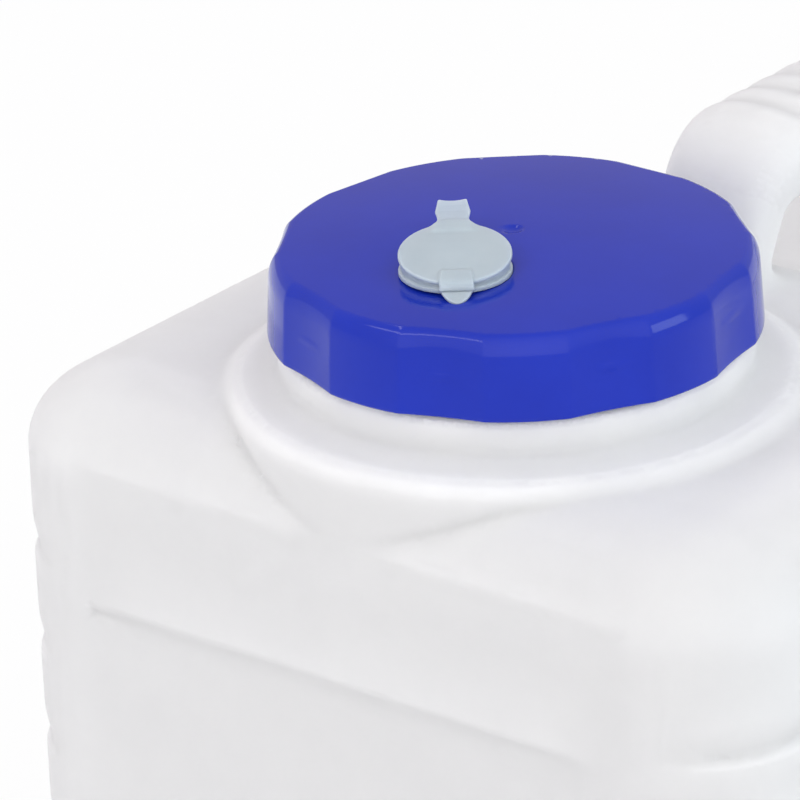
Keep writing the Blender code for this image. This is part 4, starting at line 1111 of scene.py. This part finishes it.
def make_world():
    """Soft light, strongest from the front, that the camera itself sees as plain white."""
    world = bpy.data.worlds.new("studio")
    world.use_nodes = True
    tree = world.node_tree
    new, link = tree.nodes.new, tree.links.new
    place = new("ShaderNodeTexCoord")
    total = None
    for aim, colour in SKY_GLOWS:
        facing = new("ShaderNodeVectorMath")
        facing.operation = "DOT_PRODUCT"
        facing.inputs[1].default_value = picture_place(*aim).normalized()
        link(place.outputs["Generated"], facing.inputs[0])
        ahead = maths(tree, "MAXIMUM", facing.outputs["Value"], 0)
        glow = new("ShaderNodeVectorMath")
        glow.operation = "MULTIPLY_ADD"
        glow.inputs[1].default_value = colour
        glow.inputs[2].default_value = SKY_BASE
        link(maths(tree, "MULTIPLY", ahead, ahead), glow.inputs[0])
        if total:
            link(total, glow.inputs[2])
        total = glow.outputs["Vector"]
    link(total, tree.nodes["Background"].inputs["Color"])
    white = new("ShaderNodeBackground")
    white.inputs["Strength"].default_value = 1.0
    paths = new("ShaderNodeLightPath")
    mix = new("ShaderNodeMixShader")
    link(paths.outputs["Is Camera Ray"], mix.inputs["Fac"])
    link(tree.nodes["Background"].outputs["Background"], mix.inputs[1])
    link(white.outputs["Background"], mix.inputs[2])
    link(mix.outputs["Shader"], tree.nodes["World Output"].inputs["Surface"])
    bpy.context.scene.world = world


def make_lights():
    for name, place, size, power, colour in LAMPS:
        light = bpy.data.lights.new(name, "AREA")
        light.shape = "RECTANGLE"
        light.size, light.size_y = size
        light.energy = power
        light.color = colour
        made = bpy.data.objects.new(name, light)
        made.location = picture_place(*place)
        made.rotation_euler = (made.location - Vector(LAMP_AIM)).to_track_quat("Z", "Y").to_euler()
        bpy.context.scene.collection.objects.link(made)


def view_frame():
    """Right, up and back of the camera, with its roll."""
    sin_a, cos_a = math.sin(CAMERA_AZIMUTH), math.cos(CAMERA_AZIMUTH)
    sin_e, cos_e = math.sin(CAMERA_ELEVATION), math.cos(CAMERA_ELEVATION)
    right = Vector((cos_a, sin_a, 0))
    up = Vector((-sin_a * sin_e, cos_a * sin_e, cos_e))
    back = Vector((sin_a * cos_e, -cos_a * cos_e, sin_e))
    sin_r, cos_r = math.sin(CAMERA_ROLL), math.cos(CAMERA_ROLL)
    return cos_r * right + sin_r * up, cos_r * up - sin_r * right, back


def make_camera():
    right, up, back = view_frame()
    data = bpy.data.cameras.new("photo_camera")
    data.lens = CAMERA_LENS
    data.sensor_width = CAMERA_SENSOR
    camera = bpy.data.objects.new("photo_camera", data)
    place = Vector((0, CAP_Y, CAP_Z)) + AIM_RIGHT * right + AIM_UP * up + CAMERA_DISTANCE * back
    turn = Matrix((right, up, back)).transposed().to_4x4()
    camera.matrix_world = Matrix.Translation(place) @ turn
    bpy.context.scene.collection.objects.link(camera)
    bpy.context.scene.camera = camera


def main():
    scene = bpy.context.scene
    scene.view_settings.view_transform = "Standard"
    make_camera()
    make_world()
    make_lights()
    make_floor()
    paints = make_materials()
    paint_nodes(paints)
    make_tank(paints["milky_polyethylene"])
    make_cap(paints["blue_plastic"])
    make_vent(paints)
    make_tap(paints)


main()
bpy.context.view_layer.update()
